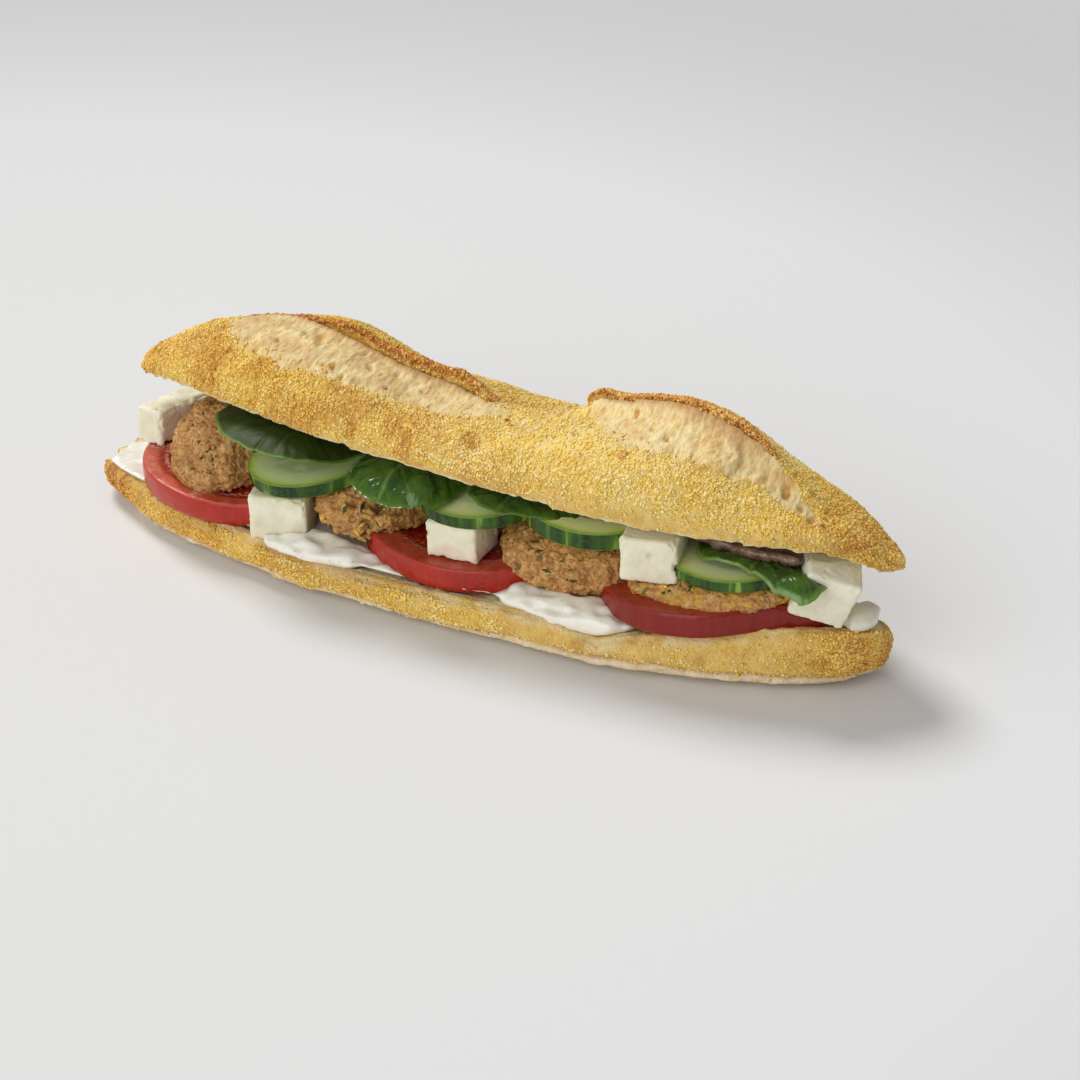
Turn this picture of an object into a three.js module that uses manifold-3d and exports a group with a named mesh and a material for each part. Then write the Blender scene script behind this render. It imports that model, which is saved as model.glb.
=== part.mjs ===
// A filled baguette sandwich: a cornmeal-dusted, twice scored baguette, cut lengthwise and filled with
// yoghurt sauce, tomato, browned vegetable patties, white brined cheese, cucumber and spinach.
// Millimetres. +X runs along the loaf, -Y is the front, +Z is up. The loaf rests on its flat base at z = 0.
import * as THREE from "three";
import { RoundedBoxGeometry } from "three/addons/geometries/RoundedBoxGeometry.js";
import { mergeVertices } from "three/addons/utils/BufferGeometryUtils.js";
import Module from "manifold-3d";

const wasm = await Module();
wasm.setup();

// ---- driving dimensions ----

const LOAF_LENGTH = 263;
const LOAF_WIDTH = 75;
const TOP_LENGTH = 251;
const TOP_WIDTH = 68;
const TOP_TILT = THREE.MathUtils.degToRad(12); // the filling lifts the front of the top half
const TOP_SLOPE = THREE.MathUtils.degToRad(2.4); // the left end of the top half sits higher
const TOP_CENTRE = new THREE.Vector3(9.5, 0, 40.7);
const CUT_HEIGHT = 12; // from the base to the cut face of the bottom half, at its middle
const RIGHT_RISE = 8; // how much thicker the bottom half is at its right end
const RIGHT_SKEW = 0.42; // the share of its back half width that the bottom half lacks at its right end
const RIGHT_FALL = 4; // how much lower the cut face is at the back of the right end
const CUT_DISH = 1.5; // how far the soft cut face sinks between its crust rims
const CUT_REACH = 0.97; // the share of the half width that the cut face takes between the rims
const CRUST_CURVE = 2.3; // exponent of the arched cross-section of the top half
const LIP_REACH = 0.35; // radians round the crust in which a score's raised lip falls away behind its crest
const SCORE_DEPTH = 0.8; // how far the opened dough lies below the crust
const TOMATO_THICKNESS = 7.5;
const CUCUMBER_RADIUS = 19.5;
const CUCUMBER_THICKNESS = 3.4;
const LEAF_THICKNESS = 0.9;
const CHEESE_EDGE = 0.9; // radius of the worn edges of a cheese cube
const SAUCE_DEPTH = 2.6;
const GAP = 0.3; // left between pieces that press on each other
const LEAST_OVERLAP = 0.001; // cubic millimetres
const FACET = 0.14; // detail finer than this is dropped after a cut

// ---- small helpers ----

const smooth = THREE.MathUtils.smoothstep;
const lerp = THREE.MathUtils.lerp;
const bump = (x, centre, reach) => Math.exp(-(((x - centre) / reach) ** 2));

// A smooth curve through a few [place, value] pairs, read as value(place).
function profile(pairs) {
  const points = pairs.map(([place, value]) => new THREE.Vector3(place, value, 0));
  const curve = new THREE.CatmullRomCurve3(points, false, "centripetal");
  const samples = curve.getPoints(pairs.length * 12);
  return (place) => {
    const next = samples.findIndex((s) => s.x >= place);
    if (next < 0) return samples[samples.length - 1].y;
    if (next === 0) return samples[0].y;
    const [a, b] = [samples[next - 1], samples[next]];
    return lerp(a.y, b.y, (place - a.x) / (b.x - a.x));
  };
}

// A low, irregular swell that keeps food from looking turned on a lathe, between about -1 and 1.
function swell(a, b, seed) {
  return (
    0.5 * Math.sin(2.1 * a + 1.3 * seed) * Math.cos(1.7 * b + seed) +
    0.3 * Math.sin(4.3 * a - 2.9 * b + 2.1 * seed) +
    0.2 * Math.cos(7.1 * b + 3.7 * a + 0.7 * seed)
  );
}

// Places along a length from -1 to 1, closer together towards both ends.
function stations(count, last = 0.997) {
  return Array.from({ length: count }, (_, i) => last * Math.sin(Math.PI * (i / (count - 1) - 0.5)));
}

// A closed body through rings of equally many points, with a fan over each end ring.
function loft(rings) {
  const size = rings[0].length;
  const points = rings.flat();
  const faces = [];
  for (let r = 0; r + 1 < rings.length; r++) {
    for (let i = 0; i < size; i++) {
      const a = r * size + i;
      const b = r * size + ((i + 1) % size);
      faces.push(a, b, b + size, a, b + size, a + size);
    }
  }
  for (const r of [0, rings.length - 1]) {
    const centre = rings[r].reduce((sum, p) => sum.add(p), new THREE.Vector3()).divideScalar(size);
    const middle = points.push(centre) - 1;
    for (let i = 0; i < size; i++) {
      const a = r * size + i;
      const b = r * size + ((i + 1) % size);
      faces.push(middle, ...(r ? [a, b] : [b, a]));
    }
  }
  return bodyOf(points, faces);
}

// The geometry of indexed points and faces, turned so that the faces point out.
function bodyOf(points, faces) {
  let volume = 0;
  for (let i = 0; i < faces.length; i += 3) {
    const [a, b, c] = [points[faces[i]], points[faces[i + 1]], points[faces[i + 2]]];
    volume += a.dot(new THREE.Vector3().crossVectors(b, c));
  }
  const index = volume < 0 ? faces.slice().reverse() : faces;
  return new THREE.BufferGeometry().setFromPoints(points).setIndex(index);
}

// The solid of a closed geometry, and the geometry of a solid, each moved by a matrix.
function toSolid(geometry, matrix) {
  const bare = new THREE.BufferGeometry();
  bare.setAttribute("position", geometry.getAttribute("position").clone());
  bare.setIndex(geometry.index);
  const merged = mergeVertices(bare.applyMatrix4(matrix), 1e-3);
  const mesh = new wasm.Mesh({
    numProp: 3,
    vertProperties: merged.attributes.position.array,
    triVerts: new Uint32Array(merged.index.array),
  });
  return new wasm.Manifold(mesh);
}

function toGeometry(solid, matrix) {
  const { vertProperties, triVerts } = solid.getMesh();
  const geometry = new THREE.BufferGeometry();
  geometry.setAttribute("position", new THREE.BufferAttribute(new Float32Array(vertProperties), 3));
  geometry.setIndex(new THREE.BufferAttribute(new Uint32Array(triVerts), 1));
  return geometry.applyMatrix4(matrix);
}

// ---- bread ----

// Share of the full width at a place u along the loaf, from -1 at the left tip to 1 at the right tip.
function planWidth(u) {
  return u < 0 ? (1 - u ** 2) ** 0.6 : (1 - u ** 3) ** 0.6;
}

// Height of the bottom half's cut edge, with the low place in the front edge where the sauce runs over.
const edgeHeight = profile([
  [-131, CUT_HEIGHT - 4],
  [-121, CUT_HEIGHT - 1],
  [-70, CUT_HEIGHT],
  [-30, CUT_HEIGHT - 1],
  [10, CUT_HEIGHT],
  [40, CUT_HEIGHT + 1.5],
  [75, CUT_HEIGHT + 1],
  [105, CUT_HEIGHT + 0.75 * RIGHT_RISE],
  [121, CUT_HEIGHT + 0.9 * RIGHT_RISE],
  [131, CUT_HEIGHT + 0.7 * RIGHT_RISE],
]);
const frontDip = (x) => 4.5 * bump(x, 57, 9);

function cutFaceHeight(x, side) {
  const edge = edgeHeight(x) - (side < 0 ? frontDip(x) * side ** 4 : 0);
  const fall = RIGHT_FALL * smooth(x, 100, 122) * smooth(side, -0.4, 1);
  return edge - fall - CUT_DISH * (1 - side ** 6);
}

// Half the width of the bottom half on one side. The right end is skewed: its back is drawn in.
function bottomReach(x, side) {
  const skew = side > 0 ? RIGHT_SKEW * smooth(x, 104, 121) : 0;
  return (LOAF_WIDTH / 2) * planWidth((2 * x) / LOAF_LENGTH) * (1 - skew);
}

// How far the underside curves up from the base towards the two tips.
const baseLift = (x) => 1.5 * smooth(-x, 112, 131) + 4 * smooth(x, 114, 133);

// The share of the flank's height at an angle round it: 1 at the cut edge, 1/2 at the widest place, and
// 0 at the base, a quarter turn below that.
const EDGE_ANGLE = 0.6;
function flankHeight(turn) {
  if (turn > 0) return lerp(0.5, 1, Math.sin(turn) / Math.sin(EDGE_ANGLE));
  return 0.5 - 0.5 * Math.abs(Math.sin(turn)) ** 0.85;
}

function bottomHalf(grow) {
  const sideSteps = 5;
  const faceSteps = 6;
  const widestBelly = 5;
  const rings = stations(35).map((u) => {
    const x = (u * LOAF_LENGTH) / 2;
    const reach = (side) => bottomReach(x, side) * (1 + 0.012 * Math.sin(x / 9)) + grow;
    const lift = baseLift(x) - grow;
    const ring = [];
    for (const side of [-1, 1]) {
      const half = reach(side);
      const belly = Math.min(widestBelly, half / 2);
      const flank = [];
      const edge = cutFaceHeight(x, side) + grow - lift;
      for (let i = 0; i <= sideSteps; i++) {
        const turn = lerp(EDGE_ANGLE, -Math.PI / 2, i / sideSteps);
        const out = half - belly + belly * Math.cos(turn) ** 0.8;
        flank.push(new THREE.Vector3(x, side * out, lift + edge * flankHeight(turn)));
      }
      ring.push(...(side < 0 ? flank : flank.reverse()));
    }
    for (let i = 1; i < faceSteps; i++) {
      const side = Math.cos((Math.PI * i) / faceSteps);
      ring.push(new THREE.Vector3(x, side * reach(side) * CUT_REACH, cutFaceHeight(x, side) + grow));
    }
    return ring;
  });
  return loft(rings);
}

// Height of the top half's crust over its cut face, without the lips of the two scores.
const crustHeight = profile([
  [-126, 5],
  [-117, 11],
  [-100, 17.5],
  [-75, 23],
  [-50, 25],
  [-22, 18.5],
  [0, 17.5],
  [18, 18.5],
  [36, 22],
  [58, 27],
  [76, 25.5],
  [94, 18],
  [110, 11],
  [126, 5],
]);

// How far the two tips of the top half droop below its cut plane.
const tipDroop = (x) => -4 * smooth(-x, 98, 127) - 2 * smooth(x, 108, 127);

// The two scores: where each runs along the top half, and the angle round the crust, from the front
// edge (0) to the back edge (PI), of the foot of its raised lip at either end. The dough below the foot has
// opened over an angle of spread. The lip rises by lip, and reaches that in the share rise of its length.
const SCORES = [
  { from: -92, to: 10, start: 1.5, end: 1.16, spread: 0.66, lip: 5, rise: 0.4 },
  { from: 24, to: 108, start: 1.56, end: 0.95, spread: 0.6, lip: 6, rise: 0.08 },
];

function scoreAt(x) {
  const [left, right] = SCORES;
  const score = x < (left.to + right.from) / 2 ? left : right;
  const along = THREE.MathUtils.clamp((x - score.from) / (score.to - score.from), 0, 1);
  const open = Math.sin(Math.PI * along) ** 0.6;
  const foot =
    x > left.to && x < right.from
      ? lerp(left.end, right.start, smooth(x, left.to, right.from))
      : lerp(score.start, score.end, along);
  const lip = score.lip * smooth(along, 0, score.rise) * (1 - smooth(along, 0.7, 1));
  return { foot, lower: foot - lerp(0.12, score.spread, open), crest: foot + 0.12, lip, open };
}

// The angles at which the crust is drawn, from its front edge to its back edge, closer round the score.
function crustAngles({ lower, foot, crest }) {
  const bands = [
    [0, lower, 4],
    [lower, foot, 2],
    [foot, crest, 1],
    [crest, Math.PI, 6],
  ];
  const angles = [];
  for (const [from, to, steps] of bands) {
    for (let i = 0; i < steps; i++) angles.push(lerp(from, to, i / steps));
  }
  return [...angles, Math.PI];
}

// How far a score raises the crust at an angle round it: by its lip behind the crest, and by less than
// nothing over the opened dough. The lip fades out over FADE_ANGLE before the back edge.
const FADE_ANGLE = 0.6;
function scoreRelief(score, angle) {
  const behind = angle - score.crest;
  const fade = smooth(Math.PI - angle, 0, FADE_ANGLE);
  if (behind >= -1e-9) return score.lip * Math.exp(-behind / LIP_REACH) * fade;
  return angle > score.lower ? -SCORE_DEPTH * score.open : 0;
}

function topHalf(grow) {
  const faceSteps = 5;
  const power = 2 / CRUST_CURVE;
  const rings = stations(46).map((u) => {
    const x = (u * TOP_LENGTH) / 2;
    const half = (TOP_WIDTH / 2) * planWidth(u) * (1 + 0.01 * Math.sin(x / 8 + 1)) + grow;
    const height = crustHeight(x) + 2 * grow;
    const droop = tipDroop(x) - grow;
    const score = scoreAt(x);
    const ring = crustAngles(score).map((angle) => {
      const [across, up] = [Math.cos(angle), Math.sin(angle)];
      const relief = scoreRelief(score, angle);
      const y = -half * Math.sign(across) * Math.abs(across) ** power - relief * across;
      return new THREE.Vector3(x, y, droop + height * up ** power + relief * up);
    });
    for (let i = 1; i < faceSteps; i++) {
      const side = Math.cos((Math.PI * i) / faceSteps);
      ring.push(new THREE.Vector3(x, side * half * CUT_REACH, droop + CUT_DISH * (1 - side ** 6)));
    }
    return ring;
  });
  return loft(rings);
}

// ---- sauces ----

// A spread layer with lumps where it wells out between the pieces of filling.
function sauceLayer(grow) {
  const reach = 0.955; // the share of the loaf's length that is spread
  const margin = 3; // bare crumb inside the cut edge
  const acrossSteps = 4;
  const rings = stations(15, reach).map((u) => {
    const x = (u * LOAF_LENGTH) / 2;
    const top = [];
    const under = [];
    for (let i = 0; i <= acrossSteps; i++) {
      const side = -Math.cos((Math.PI * i) / acrossSteps);
      const half = bottomReach(x, side) - margin + grow;
      const floor = cutFaceHeight(x, side * 0.9) + GAP;
      const depth = SAUCE_DEPTH * (1 + 0.3 * swell(x / 12, 3 * side, 1));
      top.push(new THREE.Vector3(x, side * half, floor + depth + grow));
      if (i > 0 && i < acrossSteps) under.push(new THREE.Vector3(x, side * half, floor - grow));
    }
    return [...top, ...under.reverse()];
  });
  return loft(rings);
}

const SAUCE_LUMPS = [
  { at: [-36, -28, 12.8], size: [20, 7.5, 3.2] },
  { at: [45, -28, 13.4], size: [23, 8.5, 4.6] },
  { at: [125, -5.5, 20.8], size: [5, 6.5, 3.6] },
  { at: [-14, 28, 13], size: [16, 6, 3.2] },
];

function sauce(grow) {
  let solid = toSolid(sauceLayer(grow), new THREE.Matrix4());
  for (const { at, size } of SAUCE_LUMPS) {
    const place = new THREE.Matrix4().makeTranslation(...at);
    solid = solid.add(toSolid(lump(size, 8, 5, 0.12, at[0])(grow), place));
  }
  return toGeometry(solid, new THREE.Matrix4());
}

// ---- fillings: each maker returns a function of how much thicker the piece is drawn ----

// A rounded lump: an ellipsoid of three half sizes, flattened a little and swollen unevenly.
function lump([a, b, c], around, down, rough, seed) {
  const power = 2.5; // of the rounded box that the ball is blended towards, by the share boxy
  const boxy = 0.7;
  return (grow) => {
    const ball = new THREE.SphereGeometry(1, around, down).rotateX(Math.PI / 2);
    const place = ball.attributes.position;
    const p = new THREE.Vector3();
    for (let i = 0; i < place.count; i++) {
      p.fromBufferAttribute(place, i);
      const uneven = 1 + rough * swell(2 * p.x + p.z, 2 * p.y - p.z, seed);
      const sum = Math.abs(p.x) ** power + Math.abs(p.y) ** power + Math.abs(p.z) ** power;
      p.multiplyScalar(uneven * lerp(1, sum ** (-1 / power), boxy));
      place.setXYZ(i, p.x * (a + grow), p.y * (b + grow), p.z * (c + grow));
    }
    return ball;
  };
}

// A slice with a bulging skin: an uneven oval of two radii with rounded edges.
function slice(radiusX, radiusY, thickness, lobes, lobeDepth, seed, around = 30) {
  return (grow) => {
    const edge = Math.min(1.3, 0.3 * thickness);
    const inset = [edge, 0, 0, edge];
    const level = [-0.5, -0.22, 0.22, 0.5];
    const rings = level.map((share, k) =>
      Array.from({ length: around }, (_, i) => {
        const angle = (2 * Math.PI * i) / around;
        const wave = Math.cos(lobes * angle + seed) + 0.4 * Math.sin(2 * angle + 2 * seed);
        const lobe = 1 + lobeDepth * wave;
        return new THREE.Vector3(
          ((radiusX + grow) * lobe - inset[k]) * Math.cos(angle),
          ((radiusY + grow) * lobe - inset[k]) * Math.sin(angle),
          share * (thickness + 2 * grow),
        );
      }),
    );
    return loft(rings);
  };
}

// A cube cut by hand: worn edges, faces a little out of square.
function cheeseBlock(width, depth, height, seed) {
  return (grow) => {
    const sides = [width, depth, height].map((side) => side + 2 * grow);
    const block = new RoundedBoxGeometry(...sides, 1, CHEESE_EDGE);
    const place = block.attributes.position;
    for (let i = 0; i < place.count; i++) {
      const [x, y, z] = [place.getX(i) / width, place.getY(i) / depth, place.getZ(i) / height];
      place.setX(i, place.getX(i) + 0.9 * Math.sin(seed) * z * y + 0.8 * Math.cos(seed) * z);
      place.setY(i, place.getY(i) + 0.8 * Math.sin(2 * seed) * x);
      place.setZ(i, place.getZ(i) + 1.1 * Math.cos(3 * seed) * x * y);
    }
    return block;
  };
}

// A broad leaf that lies across the loaf. Its front tip is at -Y, and it droops and cups there.
function leaf(length, width, droop, cup, seed) {
  const acrossSteps = 4;
  const alongSteps = 12;
  return (grow) => {
    const half = LEAF_THICKNESS / 2 + grow;
    const rings = stations(alongSteps + 1, 0.985).map((place) => {
      const t = (place + 1) / 2; // from the front tip to the stalk
      const breadth = (width / 2) * Math.sin(Math.PI * t ** 0.72) ** 0.55 + grow;
      const upper = [];
      const lower = [];
      for (let k = 0; k <= acrossSteps; k++) {
        const s = (2 * k) / acrossSteps - 1;
        const fall = droop * (1 - smooth(t, 0, 0.42)) ** 1.5;
        const wave = 0.8 * swell(3 * s, 6 * t, seed) * (1 - smooth(t, 0.2, 0.5));
        const height = cup * s * s * (1 - t) - fall + wave;
        const y = length * (t - 0.5);
        const rim = Math.abs(s) > 0.99 ? 0.35 : 1;
        upper.push(new THREE.Vector3(s * breadth, y, height + half * rim));
        lower.push(new THREE.Vector3(s * breadth, y, height - half * rim));
      }
      return [...upper, ...lower.reverse()];
    });
    return loft(rings);
  };
}

// ---- materials ----

const finish = (color, roughness) => new THREE.MeshStandardMaterial({ color, roughness, metalness: 0 });
const crustFinish = finish(0xc89a4a, 0.85);
const tomatoFinish = finish(0xb02a20, 0.3);
const pattyFinish = finish(0x9a5f34, 0.85);
const cheeseFinish = finish(0xf1efe2, 0.6);
const cucumberFinish = finish(0xb9cf7e, 0.35);
const spinachFinish = finish(0x1e4f1a, 0.35);
const sauceFinish = finish(0xefeeea, 0.35);
const spreadFinish = finish(0x8f6f66, 0.35);

// ---- the sandwich ----

const sandwich = new THREE.Group();
const lid = new THREE.Group(); // the top half and what clings to its cut face
lid.position.copy(TOP_CENTRE);
lid.rotation.set(-TOP_TILT, TOP_SLOPE, 0);
sandwich.add(lid);

const pieces = []; // an earlier piece presses into each later one

function addPiece(name, shape, material, position, rotation = [0, 0, 0], parent = sandwich) {
  const mesh = new THREE.Mesh(shape(0), material);
  mesh.name = name;
  mesh.position.set(...position);
  mesh.rotation.set(...rotation.map(THREE.MathUtils.degToRad));
  parent.add(mesh);
  pieces.push({ mesh, shape });
}

addPiece("bread_bottom", bottomHalf, crustFinish, [0, 0, 0]);
addPiece("bread_top", topHalf, crustFinish, [0, 0, 0], [0, 0, 0], lid);

// Rotations are in degrees about X, Y and Z.
const TOMATOES = [
  { radii: [36, 32], at: [-76, 2, 19], turn: [5, -1, 0] },
  { radii: [38, 34], at: [6, 0, 17.6], turn: [2, -1.5, 0] },
  { radii: [37.5, 31], at: [82, -1.5, 20], turn: [1, -4.5, 0] },
];
TOMATOES.forEach(({ radii, at, turn }, i) => {
  addPiece(`tomato_${i + 1}`, slice(...radii, TOMATO_THICKNESS, 5, 0.012, i), tomatoFinish, at, turn);
});

const CUCUMBERS = [
  { at: [-47, -12, 32.5], turn: [10, -6, 0] },
  { at: [11, -12, 36], turn: [8, -3, 0] },
  { at: [46, -12, 38.3], turn: [6, 2, 0] },
  { at: [89, -9, 32.4], turn: [1, -3, 0] },
  { at: [-60, 15, 28.4], turn: [5, -1, 0] },
  { at: [24, 14, 30], turn: [-13, 0, 0] },
];
CUCUMBERS.forEach(({ at, turn }, i) => {
  const round = slice(CUCUMBER_RADIUS, CUCUMBER_RADIUS, CUCUMBER_THICKNESS, 3, 0.012, i, 24);
  addPiece(`cucumber_${i + 1}`, round, cucumberFinish, at, turn);
});

const CHEESES = [
  { size: [10, 24, 12], at: [-107, 4, 27], turn: [0, 0, -12] },
  { size: [17.5, 15, 14.5], at: [-52, -22, 18.6], turn: [0, 0, 20] },
  { size: [16, 15, 13], at: [9, -22, 25.5], turn: [0, 0, 2] },
  { size: [16, 15, 13], at: [69, -20.5, 34.2], turn: [0, 0, 13] },
  { size: [15.5, 15, 15.5], at: [117, -12.5, 32], turn: [4, 22, 24] },
  { size: [16, 15, 13], at: [-30, 24, 20], turn: [0, 0, 6] },
  { size: [15, 14, 11], at: [66, 18, 28.6], turn: [0, -7, -8] },
];
CHEESES.forEach(({ size, at, turn }, i) => {
  addPiece(`cheese_${i + 1}`, cheeseBlock(...size, i + 1), cheeseFinish, at, turn);
});

const PATTIES = [
  { size: [14.5, 19, 13.5], at: [-79.5, -7.5, 28], turn: [0, 0, 0] },
  { size: [19.5, 24, 9.5], at: [-26.5, -4, 23], turn: [0, 0, 0] },
  { size: [24.5, 26, 9.7], at: [41.5, -4.5, 24.6], turn: [5, 0, 0] },
  { size: [29, 24, 5.2], at: [84, -7, 26.8], turn: [4, -5, 0] },
];
PATTIES.forEach(({ size, at, turn }, i) => {
  addPiece(`patty_${i + 1}`, lump(size, 14, 9, 0.08, i + 1), pattyFinish, at, turn);
});

const LEAVES = [
  { size: [60, 45, 4.5, -2], at: [-65, -3, -1.3], turn: [0, 0, 6] },
  { size: [64, 40, 6.5, -3], at: [-17, -4, -1.2], turn: [0, 0, -3] },
  { size: [62, 45, 3.5, -2], at: [21, -3, -1.2], turn: [0, 0, 5] },
  { size: [56, 43, 6, -2], at: [91, -1, -1.2], turn: [0, 0, -8] },
];
LEAVES.forEach(({ size, at, turn }, i) => {
  addPiece(`spinach_${i + 1}`, leaf(...size, i + 1), spinachFinish, at, turn, lid);
});

addPiece("spread_top", lump([27, 15, 2.4], 8, 5, 0.1, 5), spreadFinish, [88, -3, -1.4], [0, 0, 0], lid);
addPiece("sauce", sauce, sauceFinish, [0, 0, 0]);

// Cuts each piece by the firmer ones that press into it, and keeps the largest part of what is left.
sandwich.updateMatrixWorld(true);
const firmer = [];
for (const { mesh, shape } of pieces) {
  let solid = toSolid(shape(0), mesh.matrixWorld);
  for (const { plain, grown } of firmer) {
    if (solid.intersect(plain).volume() > LEAST_OVERLAP) solid = solid.subtract(grown);
  }
  const parts = solid.decompose().sort((a, b) => b.volume() - a.volume());
  mesh.geometry = toGeometry(parts[0].asOriginal().simplify(FACET), mesh.matrixWorld.clone().invert());
  firmer.push({ plain: toSolid(shape(0), mesh.matrixWorld), grown: toSolid(shape(GAP), mesh.matrixWorld) });
}

// The origin is at the middle of the base.
const bounds = new THREE.Box3().setFromObject(sandwich, true);
const middle = bounds.getCenter(new THREE.Vector3());
sandwich.position.set(-middle.x, -middle.y, -bounds.min.z);

const part = new THREE.Group();
part.add(sandwich);

export default part;
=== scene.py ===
"""A filled baguette sandwich: the looks of every piece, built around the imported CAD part.

Lengths are millimetres until a mesh is written, and metres in Blender. +X runs along the loaf, -Y is the
front that shows the filling, and +Z is up. Colours are sRGB, 0 to 255.
"""

import itertools
import math

import bpy
import numpy as np
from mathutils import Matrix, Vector
from mathutils.bvhtree import BVHTree


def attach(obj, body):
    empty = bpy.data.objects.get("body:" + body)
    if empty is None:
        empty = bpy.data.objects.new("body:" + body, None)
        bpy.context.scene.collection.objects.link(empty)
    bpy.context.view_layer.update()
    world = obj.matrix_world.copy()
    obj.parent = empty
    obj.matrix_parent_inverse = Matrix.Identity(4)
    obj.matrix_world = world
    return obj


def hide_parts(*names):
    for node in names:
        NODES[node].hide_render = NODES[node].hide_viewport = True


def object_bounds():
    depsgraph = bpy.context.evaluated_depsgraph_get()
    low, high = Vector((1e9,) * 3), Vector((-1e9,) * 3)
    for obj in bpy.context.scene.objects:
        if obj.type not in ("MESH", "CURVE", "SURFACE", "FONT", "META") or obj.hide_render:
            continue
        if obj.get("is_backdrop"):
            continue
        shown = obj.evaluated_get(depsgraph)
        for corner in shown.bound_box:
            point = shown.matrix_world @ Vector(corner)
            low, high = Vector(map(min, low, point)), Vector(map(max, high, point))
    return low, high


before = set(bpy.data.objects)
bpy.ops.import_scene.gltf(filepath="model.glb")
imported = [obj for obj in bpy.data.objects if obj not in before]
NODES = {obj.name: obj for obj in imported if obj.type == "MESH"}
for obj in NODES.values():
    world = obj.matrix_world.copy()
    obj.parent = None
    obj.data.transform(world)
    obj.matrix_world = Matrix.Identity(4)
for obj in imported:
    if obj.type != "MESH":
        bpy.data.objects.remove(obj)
cad_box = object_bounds()

MM = 0.001
ALONG = np.array([1.0, 0.0, 0.0])

# ---------------------------------------------------------------- numbers and noise


def smooth(x, low, high):
    """0 below low, 1 above high, and an even rise between. low may be the larger one."""
    t = np.clip((x - low) / (high - low), 0.0, 1.0)
    return t * t * (3 - 2 * t)


def bump(x, centre, reach):
    return np.exp(-(((x - centre) / reach) ** 2))


def curve(pairs):
    """A smooth line through a few (place, value) pairs, as a function of the place."""
    places, values = np.array(pairs, float).T
    fine = np.linspace(places[0], places[-1], 200)
    line = np.interp(fine, places, values)
    width = 15
    padded = np.pad(line, width, mode="edge")
    line = np.convolve(padded, np.hanning(2 * width + 1) / width, mode="same")[width:-width]
    return lambda x: np.interp(x, fine, line)


def scatter_hash(cells, seed):
    """Even random numbers from 0 to 1 for whole-numbered cells (n, 3)."""
    c = cells.astype(np.uint64)
    h = c[:, 0] * np.uint64(73856093) ^ c[:, 1] * np.uint64(19349663) ^ c[:, 2] * np.uint64(83492791)
    h = h + np.uint64(seed * 2654435761 % 2**32)
    h ^= h >> np.uint64(15)
    h = h * np.uint64(2246822519) & np.uint64(0xFFFFFFFF)
    h ^= h >> np.uint64(13)
    h = h * np.uint64(3266489917) & np.uint64(0xFFFFFFFF)
    h ^= h >> np.uint64(16)
    return (h & np.uint64(0xFFFFFF)).astype(float) / 0xFFFFFF


def noise(points, size, seed=0):
    """Gradient noise from about -1 to 1. size is the length of one swell, in mm, or one for each axis."""
    p = points / size + 1000.5
    cell = np.floor(p)
    f = p - cell
    w = f * f * f * (f * (f * 6 - 15) + 10)
    total = np.zeros(len(p))
    for corner in itertools.product((0, 1), repeat=3):
        at = cell + corner
        turn = 2 * math.pi * scatter_hash(at, seed)
        rise = 2 * scatter_hash(at, seed + 57) - 1
        flat = np.sqrt(1 - rise**2)
        away = f - corner
        dot = away[:, 0] * flat * np.cos(turn) + away[:, 1] * flat * np.sin(turn) + away[:, 2] * rise
        share = np.prod(np.where(corner, w, 1 - w), axis=1)
        total += share * dot
    return 1.7 * total


def fractal(points, size, octaves=4, seed=0, gain=0.5):
    """Noise with finer noise on it, from about -1 to 1."""
    size = np.asarray(size, float)
    total, weight = 0, 0
    for k in range(octaves):
        total = total + gain**k * noise(points, size / 2**k, seed + 11 * k)
        weight += gain**k
    return total / weight * 1.4


def near_spots(p, seed, jitter):
    """For points in cells of size 1: in turn each cell round them, and the way there from its random spot."""
    cell = np.floor(p)
    for step in itertools.product((-1, 0, 1), repeat=3):
        at = cell + step
        spot = [0.5 + jitter * (scatter_hash(at, seed + k) - 0.5) for k in (1, 2, 3)]
        yield at, p - at - np.stack(spot, 1)


def pits(points, size, share, seed):
    """Round holes: 1 in the middle of a hole, 0 outside. share of the cells of this size hold one."""
    best = np.zeros(len(points))
    for at, away in near_spots(points / size + 1000.5, seed, 0.8):
        radius = 0.2 + 0.3 * scatter_hash(at, seed + 4)
        held = scatter_hash(at, seed + 5) < share
        depth = np.clip(1 - (away**2).sum(1) / radius**2, 0, 1)
        best = np.maximum(best, np.where(held, depth, 0))
    return best


def crumb_lumps(points, size, seed):
    """Rounded crumbs of about this size, from 0 in the gaps between them to 1 on their tops."""
    near, following = np.full((2, len(points)), 9.0)
    for _, away in near_spots(points / size + 1000.5, seed, 0.9):
        away = np.linalg.norm(away, axis=1)
        following = np.minimum(following, np.maximum(near, away))
        near = np.minimum(near, away)
    return smooth(following - near, 0.0, 0.55)


def unit(v):
    return v / np.linalg.norm(v, axis=-1, keepdims=True)


# ---------------------------------------------------------------- meshes


def read(rows, name, width, kind=np.float32):
    """One property of all the vertices, edges or triangles of a mesh, as an array (n, width)."""
    values = np.empty(len(rows) * width, kind)
    rows.foreach_get(name, values)
    return values.reshape(-1, width)


def points_of(mesh):
    return read(mesh.vertices, "co", 3).astype(float) / MM


def set_points(mesh, points):
    mesh.vertices.foreach_set("co", (points * MM).astype(np.float32).ravel())
    mesh.update()


def normals_of(mesh):
    return read(mesh.vertex_normals, "vector", 3).astype(float)


def edges_of(mesh):
    return read(mesh.edges, "vertices", 2, np.int32)


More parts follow.
